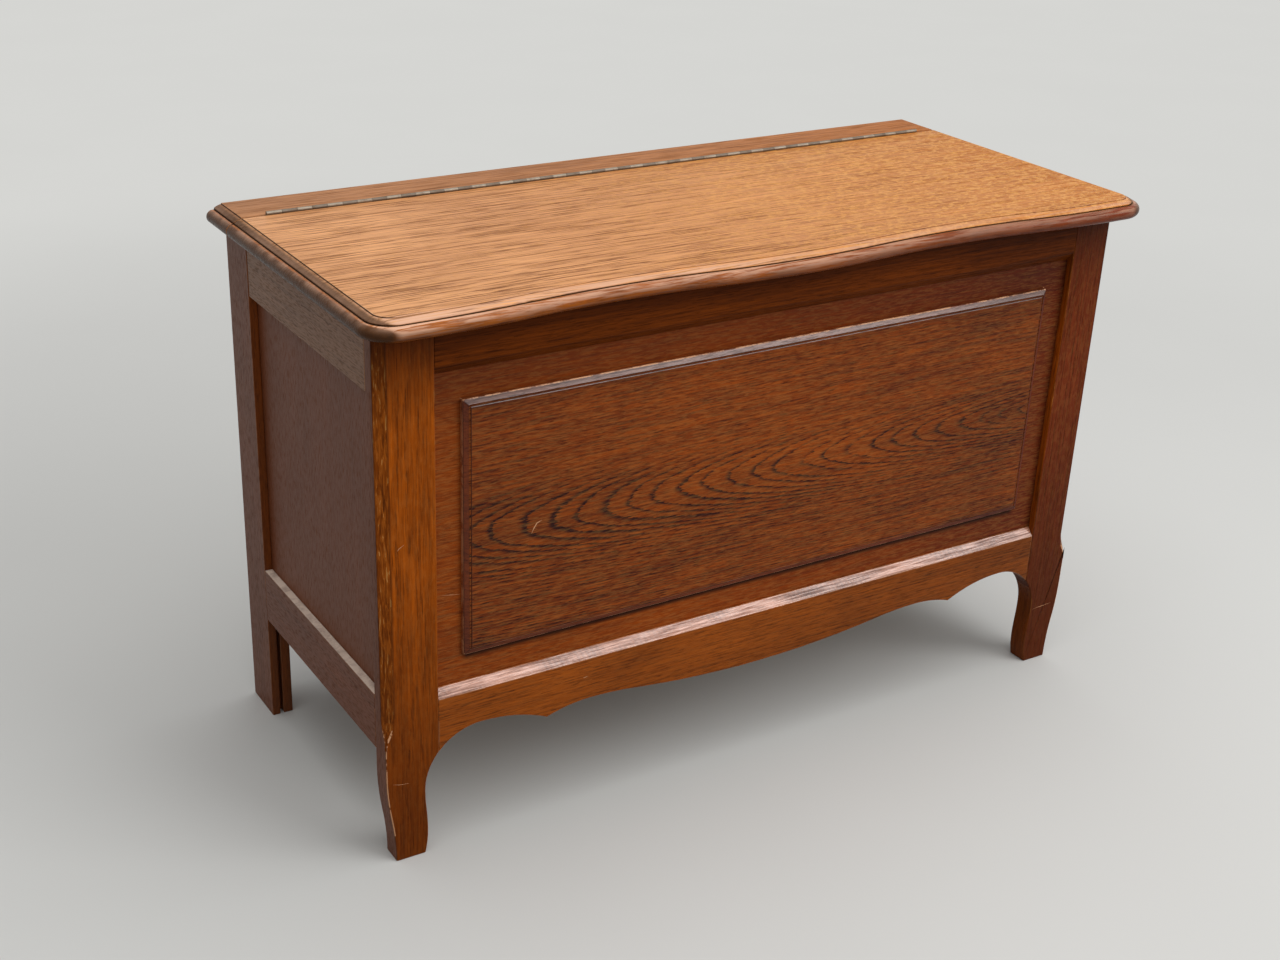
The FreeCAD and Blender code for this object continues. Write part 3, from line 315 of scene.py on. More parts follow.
def worked_mesh(name, ease, ledge=None, quirk=None):
    """Copy of a packed solid with its outer arrises eased; the eased faces carry the attribute arris.

    The borders of upright chamfers carry painted shade instead, as do eased faces in front of the quirk's depth, where
    the quirk lies in shade. Faces that lean up by between the two ledge values take the second material.
    """
    slanted, forward, fold, tall, foot_top = 0.4, -0.3, 0.35, 50 * MM, 0.22
    deep_painted_shade, faint_painted_shade = 0.4, 0.15
    work = bmesh.new()
    work.from_mesh(frame["nodes"][name].data)
    bmesh.ops.remove_doubles(work, verts=work.verts, dist=1e-6)
    bmesh.ops.dissolve_limit(work, angle_limit=0.002, verts=work.verts, edges=work.edges)
    mark = work.faces.layers.float.new("arris")
    grime_and_shade_layer = work.faces.layers.float.new("grime_and_shade")
    work.normal_update()
    chamfers = {face for face in work.faces
                if abs(face.normal.x * face.normal.y) > slanted and abs(face.normal.z) < HARDLY}
    borders = [edge for edge in work.edges if len(chamfers.intersection(edge.link_faces)) == 1
               and abs(edge.verts[0].co.z - edge.verts[1].co.z) > tall]
    lines = [(edge.verts[0].co.x, edge.verts[0].co.y) for edge in borders]
    sharp = [edge for edge in work.edges
             if edge.is_convex and edge.calc_face_angle(0) > fold and edge.calc_length() > 2.5 * ease]
    eased = bmesh.ops.bevel(work, geom=sharp, offset=ease, segments=2, profile=0.5, affect="EDGES",
                            clamp_overlap=False, material=-1)
    for face in eased["faces"]:
        middle = face.calc_center_median()
        beside = any(math.hypot(middle.x - x, middle.y - y) < 2 * ease for x, y in lines)
        hidden = beside and abs(face.normal.z) < HARDLY or quirk is not None and middle.y < quirk
        face[mark], face[grime_and_shade_layer] = (0, deep_painted_shade if middle.z > foot_top else faint_painted_shade) if hidden else (1, 0)
    if ledge:
        work.normal_update()
        for face in work.faces:
            face.material_index = int(ledge[0] < face.normal.z < ledge[1] and face.normal.y < forward)
    mesh = bpy.data.meshes.new(name + "_worked")
    work.to_mesh(mesh)
    work.free()
    if "custom_normal" in mesh.attributes:
        mesh.attributes.remove(mesh.attributes["custom_normal"])
    smooth_curves(mesh)
    return mesh


# Materials

def oak(name, along, heart, taper, ring, light, dark, lines=0.4, wander=1.0, vigour=0.35, pores=0.6, pore=(1.3, 10),
        crisp=(0.47, 0.63), streaks=1.0, streak=(3, 120), patches=0.6, patch=(70, 140), fleck=0.0, ray=(4, 9),
        flecked=None, wear=0.5, worn=None, gloss=0.42, specular=0.12, coat=0.0, deeper=(0, 0), right=None,
        feet=0.0, under=None, field=None, chamfer=0.0, moulding=False, dust_and_sheen=0.0, ripple=0.0):
    """Oak board, sawn, planed, stained and brushed with varnish that has worn thin.

    The saw cuts the growth rings into lines: rings round the log's heart, drawn out along the grain by the taper
    of the stem. Open pores show as short dark dashes along the grain, rays as pale flecks. Stain sinks deeper into
    porous wood and end grain, and the varnish leaves a satin skin that is rubbed through on the arrises. Pores,
    streaks, patches and rays are given in millimetres across the grain and along it.
    """
    finish = bpy.context.scene.chest_finish
    material, add = blank_material(name)
    place = add("ShaderNodeTexCoord")
    spot = place.outputs["Object"]
    x, y, z = add("split", spot).outputs
    facing_x, facing_y, facing_z = add("split", place.outputs["Normal"]).outputs
    # Growth rings: distance from the heart in ring widths, with uneven widths and a wandering grain
    log = add("stretch", spot, Location=heart, Scale=axes(along, taper, 1))
    drift = drawn_out(add, spot, along, across=30, lengthwise=200, Detail=5, Roughness=0.62)
    years = add("times_plus", drift, 3 * wander, add("times", add("distance", log), 1 / ring))
    seasons = add("noise", years, Scale=0.4, Detail=1, noise_dimensions="1D")
    years = add("times_plus", seasons, 2 * wander, years)
    # Pores: real ones are 0.3 mm wide, drawn as wide as they need to show
    dashes = drawn_out(add, spot, along, *pore, Detail=2, Roughness=0.6)
    dash = add("fade", dashes, *crisp)
    years = add("times_plus", dashes, 0.5 if field else 0.7, years)
    phase = add("ShaderNodeMath", years, operation="FRACT")
    year = add("ShaderNodeMath", years, operation="FLOOR")
    luck = add("range", add("ShaderNodeTexWhiteNoise", year, noise_dimensions="1D"), 0, 1, vigour, 1)
    breadth = 0.75
    if field:
        # At the tips of the flames the saw ran along the rings, which shows them wide and their early wood narrow
        rise = add("amount", add("plus", z, -field["heart"]))
        breadth = add("fade", rise, 0.006, 0.035, 0.36, breadth)
    spring, onset = add("fade", phase, breadth, 0.03), add("fade", phase, 0, 0.06)
    early = add("times", add("times", spring, onset), luck)
    # Fibre streaks, and patches where the stain took unevenly
    band = drawn_out(add, spot, along, *streak, Detail=4, Roughness=0.65)
    cloud = drawn_out(add, spot, along, *patch, Detail=3, Roughness=0.6)
    broken = add("times", add("times_plus", dash, 0.5, 0.55), early)
    paler = field["margin"] if field else light
    if right is not None:
        # The colour changes from the left end to the right end
        paler = add("blend", add("range", x, -0.45, 0.45), paler, right)
    if field:
        # The saw met the heart wood along the middle of the field, so the figure is strongest there and fades to
        # the right; the margin round the field took the stain lighter
        above, below = add("fade", z, *field["above"], 0.12, 1), add("fade", z, *field["below"], 0.35, 1)
        strength = add("times", add("times", above, below), add("range", x, 0, 0.34, 1, 0.5))
        step = add("fade", y, field["back"], field["front"])
        broken = add("times", broken, add("range", step, 0, 1, 0.1, strength))
        paler = add("blend", step, paler, light)
    tone = add("times_plus", broken, lines, 0.3 - 0.5 * (streaks + patches))
    tone = add("times_plus", band, streaks, tone)
    tone = add("times_plus", cloud, patches, tone, use_clamp=True)
    if field:
        # The margin is calmer than the field
        tone = add("range", step, 0, 1, add("times_plus", tone, 0.5, 0.15), tone)
    for share, start, full in zip(deeper, (-0.08, 0), (-0.34, 0.4)):
        if share:
            # Darker towards this end
            tone = add("plus", add("fade", x, start, full, 0, share), tone, use_clamp=True)
    wood = add("blend", tone, paler, dark)
    open_pores = add("times", dash, add("times_plus", early, 0.4 * pores, 0.6 * pores))
    if flecked:
        # Rays crowd out the pores where they show
        reach = add("fade", x, *flecked)
        open_pores = add("times", open_pores, add("range", reach, 0, 1, 1, 0.45))
    if field:
        # Varnish fills half of the margin's pores
        open_pores = add("times", open_pores, add("range", step, 0, 1, 0.5, 1))
    wood = add("blend", open_pores, wood, shade(dark, 0.5))
    if fleck:
        # Rays cut along their length: pale flecks in drifts, more of them towards one end
        rays = drawn_out(add, spot, along, *ray, Detail=3, Roughness=0.65, Distortion=0.5)
        flake = add("fade", rays, 0.4, 0.66, 0, fleck)
        if flecked:
            flake = add("times", flake, add("range", reach, 0, 1, 0.2, 1))
        wood = add("blend", flake, wood, finish.ray)
    if chamfer:
        # The chamfers cut across the rays, and hands have rubbed them pale
        slant = add("range", add("amount", add("times", facing_x, facing_y)), 0.3, 0.45, 0, chamfer)
        flame = drawn_out(add, spot, along, across=2.1, lengthwise=17, Detail=3, Roughness=0.6, Distortion=0.5)
        wood = add("blend", add("times", slant, 0.4), wood, dark)
        for low, high, hue in ((0.42, 0.6, finish.flame), (0.61, 0.66, finish.ray)):
            wood = add("blend", add("times", add("fade", flame, low, high), slant), wood, hue)
    if feet:
        # Darker towards the feet
        knee, sole = 0.38, 0.03
        wood = add("blend", add("fade", z, knee, sole, 0, feet), wood, shade(dark, 0.8))
    if under:
        # Painted shade under an overhang: darker towards the top
        low, high, share = under
        wood = add("blend", add("fade", z, low, high, 0, share), wood, shade(dark, 0.6))
    if moulding:
        # The moulding's faces turned to the ends are darkest: their end grain drank the stain deepest, and painted
        # shade darkens these side-facing faces too
        sideways = add("fade", add("amount", facing_x), 0.08, 0.4, 0, 0.9)
        end = add("times", add("mark", attribute_name="moulded").outputs["Fac"], sideways)
        wood = add("blend", end, wood, finish.end_grain_and_shade)
    if field:
        # Painted shadow on the margin in the corner below the raised field
        wide, high = field["half"]
        beside = add("range", add("less", add("amount", x), wide - 5 * MM), 6 * MM, 0, 0, 0.95)
        away = add("amount", add("less", field["middle"] - high, z))
        corner = add("fade", away, 10 * MM, 3.5 * MM, 0, beside)
        wood = add("blend", add("range", step, 0, 0.5, corner, 0), wood, finish.grime_and_shade)
    # Soil and painted shade in the quirks, wear on the arrises, dust and a painted sheen on level ledges
    wood = add("blend", add("mark", attribute_name="grime_and_shade").outputs["Fac"], wood, finish.grime_and_shade)
    rub = add("noise", spot, Scale=55, Detail=4, Roughness=0.7)
    arris = add("mark", attribute_name="arris").outputs["Fac"]
    rubbed = add("times", arris, add("fade", band if moulding else rub, 0.38, 0.56, 0, wear))
    if feet:
        # Feet are knocked on their outer edges
        rubbed = add("times", rubbed, add("range", z, 0.2, 0.17, 0.25, 4), use_clamp=True)
    if moulding:
        # Hands lift the lid by its front, most of all at the corners and on the left; at the ends only sharp
        # edges are rubbed. These pale marks are painted highlights as well as rubbed varnish
        aside = add("amount", x)
        grip = add("times", add("range", aside, 0.34, 0.44, 1, 1.7), add("range", x, -0.1, 0.25, 1, 0.4))
        rubbed = add("times", rubbed, grip, use_clamp=True)
        edges = add("ShaderNodeMath", arris, 3, operation="POWER")
        spared = add("times", edges, add("range", cloud, 0.4, 0.6, 0.08, 0.34))
        behind = add("times_plus", y, 0.2, aside)
        rubbed = add("range", behind, 0.42, 0.432, rubbed, spared)
        rubbed = add("range", end, 0, 0.7, rubbed, spared)
    wood = add("blend", rubbed, wood, finish.worn if worn is None else worn)
    if dust_and_sheen:
        # Dust and a painted sheen, only on the low ledges, the right one less than the left
        film = add("range", facing_z, 0.75, 0.97, 0, dust_and_sheen)
        for limits in ((rub, 0.36, 0.56, 0.6, 1), (z, 0.3, 0.25), (x, -0.4, 0.4, 1, 0.35)):
            film = add("times", film, add("range", *limits))
        wood = add("blend", film, wood, finish.dust_and_sheen)
    # Varnish sinks into the pores and is duller there
    sheen = add("range", dash, 0, 1, gloss, gloss + 0.2)
    relief = add("times_plus", dash, -1, band)
    shine = {"Specular_IOR_Level": specular, "Coat_Weight": coat}
    if ripple:
        # Planer knives left slanting ripples 6 mm apart, deeper in some stretches; their hollows are painted darker as
        # shade
        knife = add("stretch", spot, Rotation=(0, math.radians(18), 0))
        chatter = add("ShaderNodeTexWave", knife, Scale=0.314 / (6 * MM), Distortion=1.5, Detail=1, Detail_Scale=1.5,
                      wave_type="BANDS", bands_direction="X").outputs["Fac"]
        hollow = add("times", chatter, add("times_plus", cloud, 9 * ripple, -4 * ripple, use_clamp=True))
        relief = add("plus", hollow, relief)
        wood = add("blend", add("times", hollow, 0.26), wood, dark)
        # The varnish is rubbed off in streaks
        skinned = add("range", band, 0.4, 0.6, 1.25, 0.35)
        shine = {label: add("times", skinned, share) for label, share in shine.items()}
    skin = add("bump", Height=relief, Strength=0.2, Distance=0.5 * MM)
    varnished = add("surface", Base_Color=wood, Roughness=sheen, IOR=1.5, Coat_Roughness=0.2, Normal=skin, **shine)
    add("ShaderNodeOutputMaterial", varnished)
    return material


def bare_wood(name, along, light, ring):
    """Sawn, unvarnished wood: matt, with soft growth lines, the ring in millimetres, and a fuzzy surface."""
    material, add = blank_material(name)
    spot = add("ShaderNodeTexCoord").outputs["Object"]
    # Soft lines some three rings wide and thirty long
    wide, long = ring / 0.3, ring / 0.03
    rings = drawn_out(add, spot, along, wide, long, Detail=4, Roughness=0.6, Distortion=1.2)
    fuzz = drawn_out(add, spot, along, across=1.2, lengthwise=30, Detail=3)
    dark = [c * share for c, share in zip(light, (0.55, 0.48, 0.4))] + [1]
    wood = add("blend", add("times", add("fade", rings, 0.35, 0.65), fuzz), light, dark)
    skin = add("bump", Height=fuzz, Strength=0.3, Distance=0.5 * MM)
    sawn = add("surface", Base_Color=wood, Roughness=0.75, IOR=1.5, Specular_IOR_Level=0.3, Normal=skin)
    add("ShaderNodeOutputMaterial", sawn)
    return material


def aged_steel(name, colour, roughness):
    """Rolled and plated steel, dulled by handling: soft reflections with a blotchy, faintly scratched skin."""
    material, add = blank_material(name)
    spot = add("ShaderNodeTexCoord").outputs["Object"]
    blotch = add("noise", spot, Scale=90, Detail=4, Roughness=0.65)
    metal = add("blend", add("fade", blotch, 0.48, 0.72, 0, 0.7), colour, linear("#6E5A48"))
    hairline = drawn_out(add, spot, "X", across=0.6, lengthwise=20, Detail=2)
    sheen = add("range", blotch, 0.3, 0.7, roughness, roughness + 0.25)
    skin = add("bump", Height=hairline, Strength=0.12, Distance=0.2 * MM)
    plated = add("surface", Base_Color=metal, Metallic=0.85, Roughness=sheen, Normal=skin)
    add("ShaderNodeOutputMaterial", plated)
    return material


def matt_floor(colour):
    """Painted studio floor: flat and matt, with the faintest unevenness of a rolled coat.

    The camera and reflections see the pale paint with the chest's shadow on it. Far from the chest, where the lamps
    no longer reach, they see the paint's plain colour. Less light bounces up from it, so the chest keeps its depth.
    """
    material, add = blank_material("matt_floor_paint")
    spot = add("ShaderNodeTexCoord").outputs["Object"]
    roll = add("noise", spot, Scale=3, Detail=3)
    paint = add("blend", roll, colour, shade(colour, 1.03))
    seen = seen_directly(add)
    bounce = add("blend", seen, shade(colour, 0.45), paint)
    lit = add("surface", Base_Color=bounce, Roughness=0.9, Specular_IOR_Level=0.2)
    plain = add("ShaderNodeEmission", paint, 1)
    far = add("fade", add("distance", spot), 0.9, 2.4)
    both = add("ShaderNodeMixShader", add("times", seen, far), lit, plain)
    add("ShaderNodeOutputMaterial", both)
    return material


# The moulded top

def moulding_section(sizes, foot):
    """Moulding from the flat top down to the underside: inward offset, drop from the top, soil with painted shade, and
    wear with painted highlights.
    """
    fall = STRIP_HIGH.z - STRIP_LOW.z - foot
    step = sizes.nose + sizes.nose_step
    far = step + sizes.ovolo_wide
    crown = sizes.fillet + sizes.ovolo_high
    ledge = crown + sizes.quirk
    ease = 0.3 * MM
    points = [(far + 3 * ease, 0, 0, 0), (far + ease, 0, 0, 0.6), (far + 0.3 * ease, 0.3 * ease, 0, 1),
              (far, ease, 0, 0.6), (far, sizes.fillet - ease, 0.5, 0), (far - ease, sizes.fillet, 0.5, 0)]
    # The shallow round bulges outwards between its two ends
    chord = Vector((far - step, sizes.ovolo_high))
    rise = math.asin(chord.length / (2 * sizes.ovolo_radius))
    sag = sizes.ovolo_radius * (1 - math.cos(rise))
    out = Vector((-chord.y, -chord.x)).normalized()
    for i in range(1, 12):
        along = i / 12
        bulge = sag * (1 - (2 * along - 1) ** 2)
        spot = Vector((far, sizes.fillet)) + along * Vector((-chord.x, chord.y)) + bulge * out
        points.append((spot.x, spot.y, 0, 0.6 + 0.4 * along))
    points += [(step + 0.4 * ease, crown + 0.2 * ease, 0, 0.8), (step, crown + ease, 0, 0.4),
               (step, ledge - 2 * ease, 0.9, 0), (step, ledge, 1, 0), (step - 2 * ease, ledge, 0.9, 0),
               (sizes.nose + ease, ledge, 0.1, 0.2)]
    # Down the nose the arris value falls from full, which paints a highlight on its upper round besides wear
    for i in range(17):
        turn = math.pi * i / 16
        down = ledge + sizes.nose * (1 - math.cos(turn))
        if down > fall - 0.01 * MM:
            break
        points.append((sizes.nose * (1 - math.sin(turn)), down, 0, max(0, min(1, 1.3 - 0.12 * i))))
    reach = math.sqrt(max(0, sizes.nose ** 2 - (fall - ledge - sizes.nose) ** 2))
    points.append((sizes.nose - reach, fall, 0, 0))
    return points


def moulded_edge_tree():
    """Sweeps a moulding section along the edge of a board."""
    tree, add, ask = blank_tree("moulded_edge", {"Edge": "Geometry", "Section": "Object", "Finish": "Material"},
                                "Moulding")
    upright = add("GeometryNodeSetCurveNormal", ask["Edge"], mode="Z_UP")
    section = add("GeometryNodeObjectInfo", Object=ask["Section"]).outputs["Geometry"]
    sweep = add("GeometryNodeCurveToMesh", upright, add("GeometryNodeMeshToCurve", section))
    plain = add("GeometryNodeRealizeInstances", sweep)
    add("NodeGroupOutput", add("GeometryNodeSetMaterial", plain, Material=ask["Finish"]))
    return tree


def evaluated(thing, tree, values):
    """Plain mesh that a tree of nodes makes of an object, with the tree's inputs given by name."""
    step = thing.modifiers.new(tree.name, "NODES")
    step.node_group = tree
    for item in tree.interface.items_tree:
        if item.in_out == "INPUT" and item.name in values:
            step[item.identifier] = values[item.name]
    view = bpy.context.evaluated_depsgraph_get()
    mesh = bpy.data.meshes.new_from_object(thing.evaluated_get(view))
    thing.modifiers.remove(step)
    return mesh


def moulded_board(name, runs, foot, material, seam):
    """Solid board whose runs of edge carry the moulding; straight faces join the runs' ends."""
    sizes = bpy.context.scene.chest_joinery
    points = moulding_section(sizes, foot)
    count = len(points)
    section = bpy.data.meshes.new("moulding_section")
    section.from_pydata([(-inward, drop, 0) for inward, drop, _, _ in points],
                        [(i, i + 1) for i in range(count - 1)], [])
    marks = {"grime_and_shade": [point[2] for point in points], "arris": [point[3] for point in points],
             "moulded": [0.0] * 2 + [1.0] * (count - 2),
             "nose": [float(point[0] < sizes.nose + 0.5 * sizes.nose_step) for point in points]}
    for label, values in marks.items():
        section.attributes.new(label, "FLOAT", "POINT").data.foreach_set("value", values)
    cutter = placed("moulding_section", section)
    paths = bpy.data.curves.new("board_edges", "CURVE")
    paths.dimensions = "3D"
    for run in runs:
        spline = paths.splines.new("POLY")
        spline.points.add(len(run) - 1)
        for spot, (x, y) in zip(spline.points, run):
            spot.co = (x, y, STRIP_HIGH.z, 1)
    edge = placed("board_edges", paths)
    mesh = evaluated(edge, moulded_edge_tree(), {"Section": cutter, "Finish": material})
    for helper in (cutter, edge):
        bpy.data.objects.remove(helper)
    work = bmesh.new()
    work.from_mesh(mesh)
    work.verts.ensure_lookup_table()
    rings = [work.verts[i * count:(i + 1) * count] for i in range(len(work.verts) // count)]
    ends, start = [], 0
    for run in runs:
        ends.append((rings[start], rings[start + len(run) - 1]))
        start += len(run)
    if start != len(rings):
        raise RuntimeError("The moulding has %d rings, not %d" % (len(rings), start))
    seams = []
    for i, (_, last) in enumerate(ends):
        first = ends[(i + 1) % len(ends)][0]
        work.faces.new(list(last) + list(reversed(first)))
        seams.append(work.edges.get((last[0], first[0])))
    work.faces.new([ring[0] for ring in rings])
    work.faces.new([ring[-1] for ring in reversed(rings)])
    bmesh.ops.recalc_face_normals(work, faces=work.faces)
    nose = work.verts.layers.float["nose"]
    for face in work.faces:
        face.material_index = int(len(face.verts) == 4 and min(corner[nose] for corner in face.verts) > 0.5)
    hinge_side = min(seams, key=lambda line: abs(sum(v.co.y for v in line.verts) / 2 - LEAF_LOW.y))
    bmesh.ops.bevel(work, geom=[hinge_side], offset=seam, segments=2, profile=0.5, affect="EDGES", material=-1)
    work.to_mesh(mesh)
    work.free()
    smooth_curves(mesh, fold=25)
    mesh.name = name
    return mesh


def lid_edge(sizes):
    """The lid's edge on plan, from its left rear corner round the waved front to its right rear corner."""
    side, front, rear = LID_HIGH.x, LID_LOW.y, LID_HIGH.y
    inner = side - sizes.corner
    wave = (inner - sizes.lobe_flat) / 2
    radius = ((wave / 2) ** 2 + (sizes.wave / 2) ** 2) / sizes.wave
    half = [(-side, rear), (-side, rear - 60 * MM), (-side, (front + rear) / 2)]
    for turn in evenly(0, math.pi / 2, 17):
        half.append((-inner - sizes.corner * math.cos(turn), front + sizes.corner * (1 - math.sin(turn))))
    for x in evenly(-2 * wave, 0, 41):
        off = abs(x) % (2 * wave)
        bow = min(off, 2 * wave - off)
        if bow <= wave / 2:
            y = front + radius - math.sqrt(radius ** 2 - bow ** 2)
        else:
            y = front + sizes.wave - radius + math.sqrt(radius ** 2 - (wave - bow) ** 2)
        half.append((x, y))
    return half + [(-x, y) for x, y in reversed(half[:-1])]


# The slotted screws

def screw_tree():
    """Puts a slotted countersunk screw on every point, driven along the point's aim, its slot turned at random."""
    tree, add, ask = blank_tree("slotted_screws", {
        "Places": "Geometry", "Head radius": "Float", "Head depth": "Float", "Shank radius": "Float",
        "Length": "Float", "Seed": "Int", "Metal": "Material"}, "Screws")
    # Lengths from the face down: the head, the shank to three quarters of the length, the point
    head_low = add("times", ask["Head depth"], -1)
    shank_long = add("times_plus", ask["Length"], 0.75, head_low)
    shank_middle = add("times_plus", shank_long, -0.5, head_low)
    tip_low = add("times", ask["Length"], -1)
    tip_long = add("times", ask["Length"], 0.25)
    head = add("GeometryNodeMeshCone", Vertices=24, Radius_Top=ask["Head radius"],
               Radius_Bottom=ask["Shank radius"], Depth=ask["Head depth"])
    shank = add("GeometryNodeMeshCylinder", Vertices=16, Radius=ask["Shank radius"], Depth=shank_long)
    tip = add("GeometryNodeMeshCone", Vertices=16, Radius_Top=ask["Shank radius"], Radius_Bottom=0.2 * MM,
              Depth=tip_long)
    head, shank, tip = [add("GeometryNodeTransform", part, Translation=add("join", Z=height))
                        for part, height in ((head, head_low), (shank, shank_middle), (tip, tip_low))]
    # The slot: right across the head, a seventh of it wide, and half as deep as the head
    wide, narrow = add("times", ask["Head radius"], 2.4), add("times", ask["Head radius"], 0.28)
    blade = add("GeometryNodeMeshCube", add("join", wide, narrow, ask["Head depth"]))
    slotted = add("GeometryNodeMeshBoolean", head, blade, operation="DIFFERENCE", solver="EXACT")
    screw = add("GeometryNodeJoinGeometry")
    for part in (slotted, shank, tip):
        tree.links.new(part.outputs[0], screw.inputs[0])
    aim = add("GeometryNodeInputNamedAttribute", data_type="FLOAT_VECTOR", Name="aim")
    back = add("ShaderNodeVectorMath", aim, Scale=-1, operation="SCALE")
    stand = add("FunctionNodeAlignRotationToVector", Vector=back, axis="Z")
    spin = add("FunctionNodeRandomValue", -1.5, 1.5, Seed=ask["Seed"], data_type="FLOAT")
    turn = add("FunctionNodeEulerToRotation", add("join", Z=spin))
    driven = add("FunctionNodeRotateRotation", stand, turn, rotation_space="LOCAL")
    spread = add("GeometryNodeInstanceOnPoints", ask["Places"], Instance=screw, Rotation=driven)
    plain = add("GeometryNodeRealizeInstances", spread)
    add("NodeGroupOutput", add("GeometryNodeSetMaterial", plain, Material=ask["Metal"]))
    return tree


# Operators, one for each group of pieces

class CHEST_OT_front_frame(bpy.types.Operator):
    """Posts and rails of the front, with eased arrises"""
    bl_idname = "chest.front_frame"
    bl_label = "Front frame"

    def execute(self, context):
        finish, sizes = context.scene.chest_finish, context.scene.chest_joinery
        # The posts take painted shade under the lid (under)
        upright = {"along": "Z", "heart": (0.46, 0.30, -0.02), "taper": 0.02, "ring": 4.2 * MM,
                   "dark": finish.post_dark, "lines": 0.4, "pores": 0.5, "pore": (1.2, 30), "streaks": 1.2,
                   "streak": (3, 110), "patches": 0.8, "fleck": 0.06, "chamfer": 0.9, "feet": 0.62,
                   "under": (0.46, 0.568, 0.75)}
        board = {"along": "X", "heart": (0.02, 0.20, 0.25), "taper": 0.02, "ring": 3.6 * MM,
                 "dark": finish.rail_dark, "lines": 0.4, "pores": 0.5, "pore": (1.2, 16), "streak": (3.4, 110),
                 "patches": 0.8, "deeper": (0, 0.2), "wear": 0.25}
        left = oak("stained_oak_left_post", light=finish.post_light, wear=1.0, specular=0.07, **upright)
        right = oak("stained_oak_right_post", light=finish.right_post, wear=0.25, specular=0.07, **upright)
        # The posts' inner sides take the left post's paler stain; on the right post this is painted light on a side
        # that lies in shade
        inside = oak("stained_oak_post_inside", light=finish.post_light, **{**upright, "chamfer": 0.0})
        # The posts' outer side faces take the side colour: painted shade beside their lit fronts
        outer = oak("stained_oak_post_sides_shaded", "Z", heart=(0.3, 0.25, 0.1), taper=0.02, ring=4.0 * MM,
                    light=finish.side_light_and_shade, dark=finish.side_dark, lines=0.2, pores=0.4, streaks=0.7, patches=0.5,
                    specular=0.2)
        level = oak("stained_oak_apron", light=finish.rail_light, streaks=0.9, fleck=0.04, ray=(2, 12), **board)
        # Painted shade under the lid darkens this rail towards the lid
        shaded = oak("stained_oak_top_rail", light=finish.top_rail_stain_and_shade, streaks=1.9, specular=0.05,
                     under=(0.53, 0.568, 0.6), **{**board, "wear": 0.0})
        # The apron's bevel is pale partly from rubbed varnish and partly as a painted reflection
        rubbed = oak("rubbed_oak_bevels_and_sheen", light=finish.ledge, streaks=2.2, specular=0.85, coat=0.6, gloss=0.32,
                     ripple=1.0, patch=(40, 90), **{**board, "pores": 0.3, "streak": (2.2, 60), "patches": 1.5})
        # Only the outer arrises of the posts are rubbed
        outer_arris, hardly_rubbed = 0.1, 0.03
        for name, wood in (("front_left_post", left), ("front_right_post", right)):
            mesh = worked_mesh(name, 1.4 * sizes.arris)
            for face in mesh.polygons:
                outward = math.copysign(face.normal.x, face.normal.x * face.center.x)
                face.material_index = 1 if outward > SQUARE else 2 if outward < -SQUARE else 0
                if outward < outer_arris:
                    mesh.attributes["arris"].data[face.index].value *= hardly_rubbed
            show(name + "_oak", mesh, [wood, outer, inside], "carcase", [name])
        for name, wood in (("front_top_rail", shaded), ("front_apron_rail", level)):
            mesh = worked_mesh(name, sizes.arris, ledge=(0.4, 0.8))
            show(name + "_oak", mesh, [wood, rubbed], "carcase", [name])
        return {"FINISHED"}


class CHEST_OT_front_panel(bpy.types.Operator):
    """Raised panel with its bevelled field"""
    bl_idname = "chest.front_panel"
    bl_label = "Front panel"

    def execute(self, context):
        finish, sizes = context.scene.chest_finish, context.scene.chest_joinery
        # The margin's top takes painted shade under the top rail (under)
        board = {"along": "X", "heart": (0.052, 0.1717, -0.348), "taper": -0.085, "ring": 2.6 * MM,
                 "dark": finish.panel_dark, "lines": 1.6, "wander": 0.42, "vigour": 0.6, "pores": 0.6,
                 "pore": (1.3, 14), "streaks": 1.7, "streak": (2.4, 80), "patches": 0.7, "deeper": (0.16, 0.22),
                 "wear": 1.0, "under": (0.44, 0.52, 0.4), "right": finish.margin_right,
                 "field": {"back": -0.1655, "front": -0.1705, "heart": 0.348, "above": (0.395, 0.355),
                           "below": (0.28, 0.335), "half": (0.362, 0.1355), "middle": 0.3535,
                           "margin": finish.margin_light}}
        wood = oak("stained_oak_panel", light=finish.panel_light, fleck=0.14, ray=(1.6, 12), specular=0.07, **board)
        # The field's top bevel is pale partly from rubbed varnish and partly as a painted reflection
        rubbed = oak("rubbed_oak_field_bevel_and_sheen", light=finish.field_ledge_and_sheen, specular=0.6, coat=0.4, gloss=0.32, **board)
        sides = oak("stained_oak_field_sides", light=finish.field_side, specular=0.2,
                    **{**board, "lines": 0.2, "pores": 0.25, "streaks": 0.8, "field": None})
        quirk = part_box("front_panel")[0].y + 2 * MM
        mesh = worked_mesh("front_panel", sizes.fine_arris, ledge=(0.25, 1.01), quirk=quirk)
        for face in mesh.polygons:
            if abs(face.normal.x) > SQUARE:
                # The wall beside the margin is painted pale as a highlight, the quirk in front of it is painted dark as
                # shade
                kept = face.center.y < quirk
                mesh.attributes["grime_and_shade" if kept else "arris"].data[face.index].value = 0.55
                face.material_index = int(not kept)
            elif face.normal.y < -0.5 and (abs(face.normal.x) > HARDLY or face.normal.z < -HARDLY):
                face.material_index = 2
        show("front_panel_oak", mesh, [wood, rubbed, sides], "carcase", ["front_panel"])
        return {"FINISHED"}


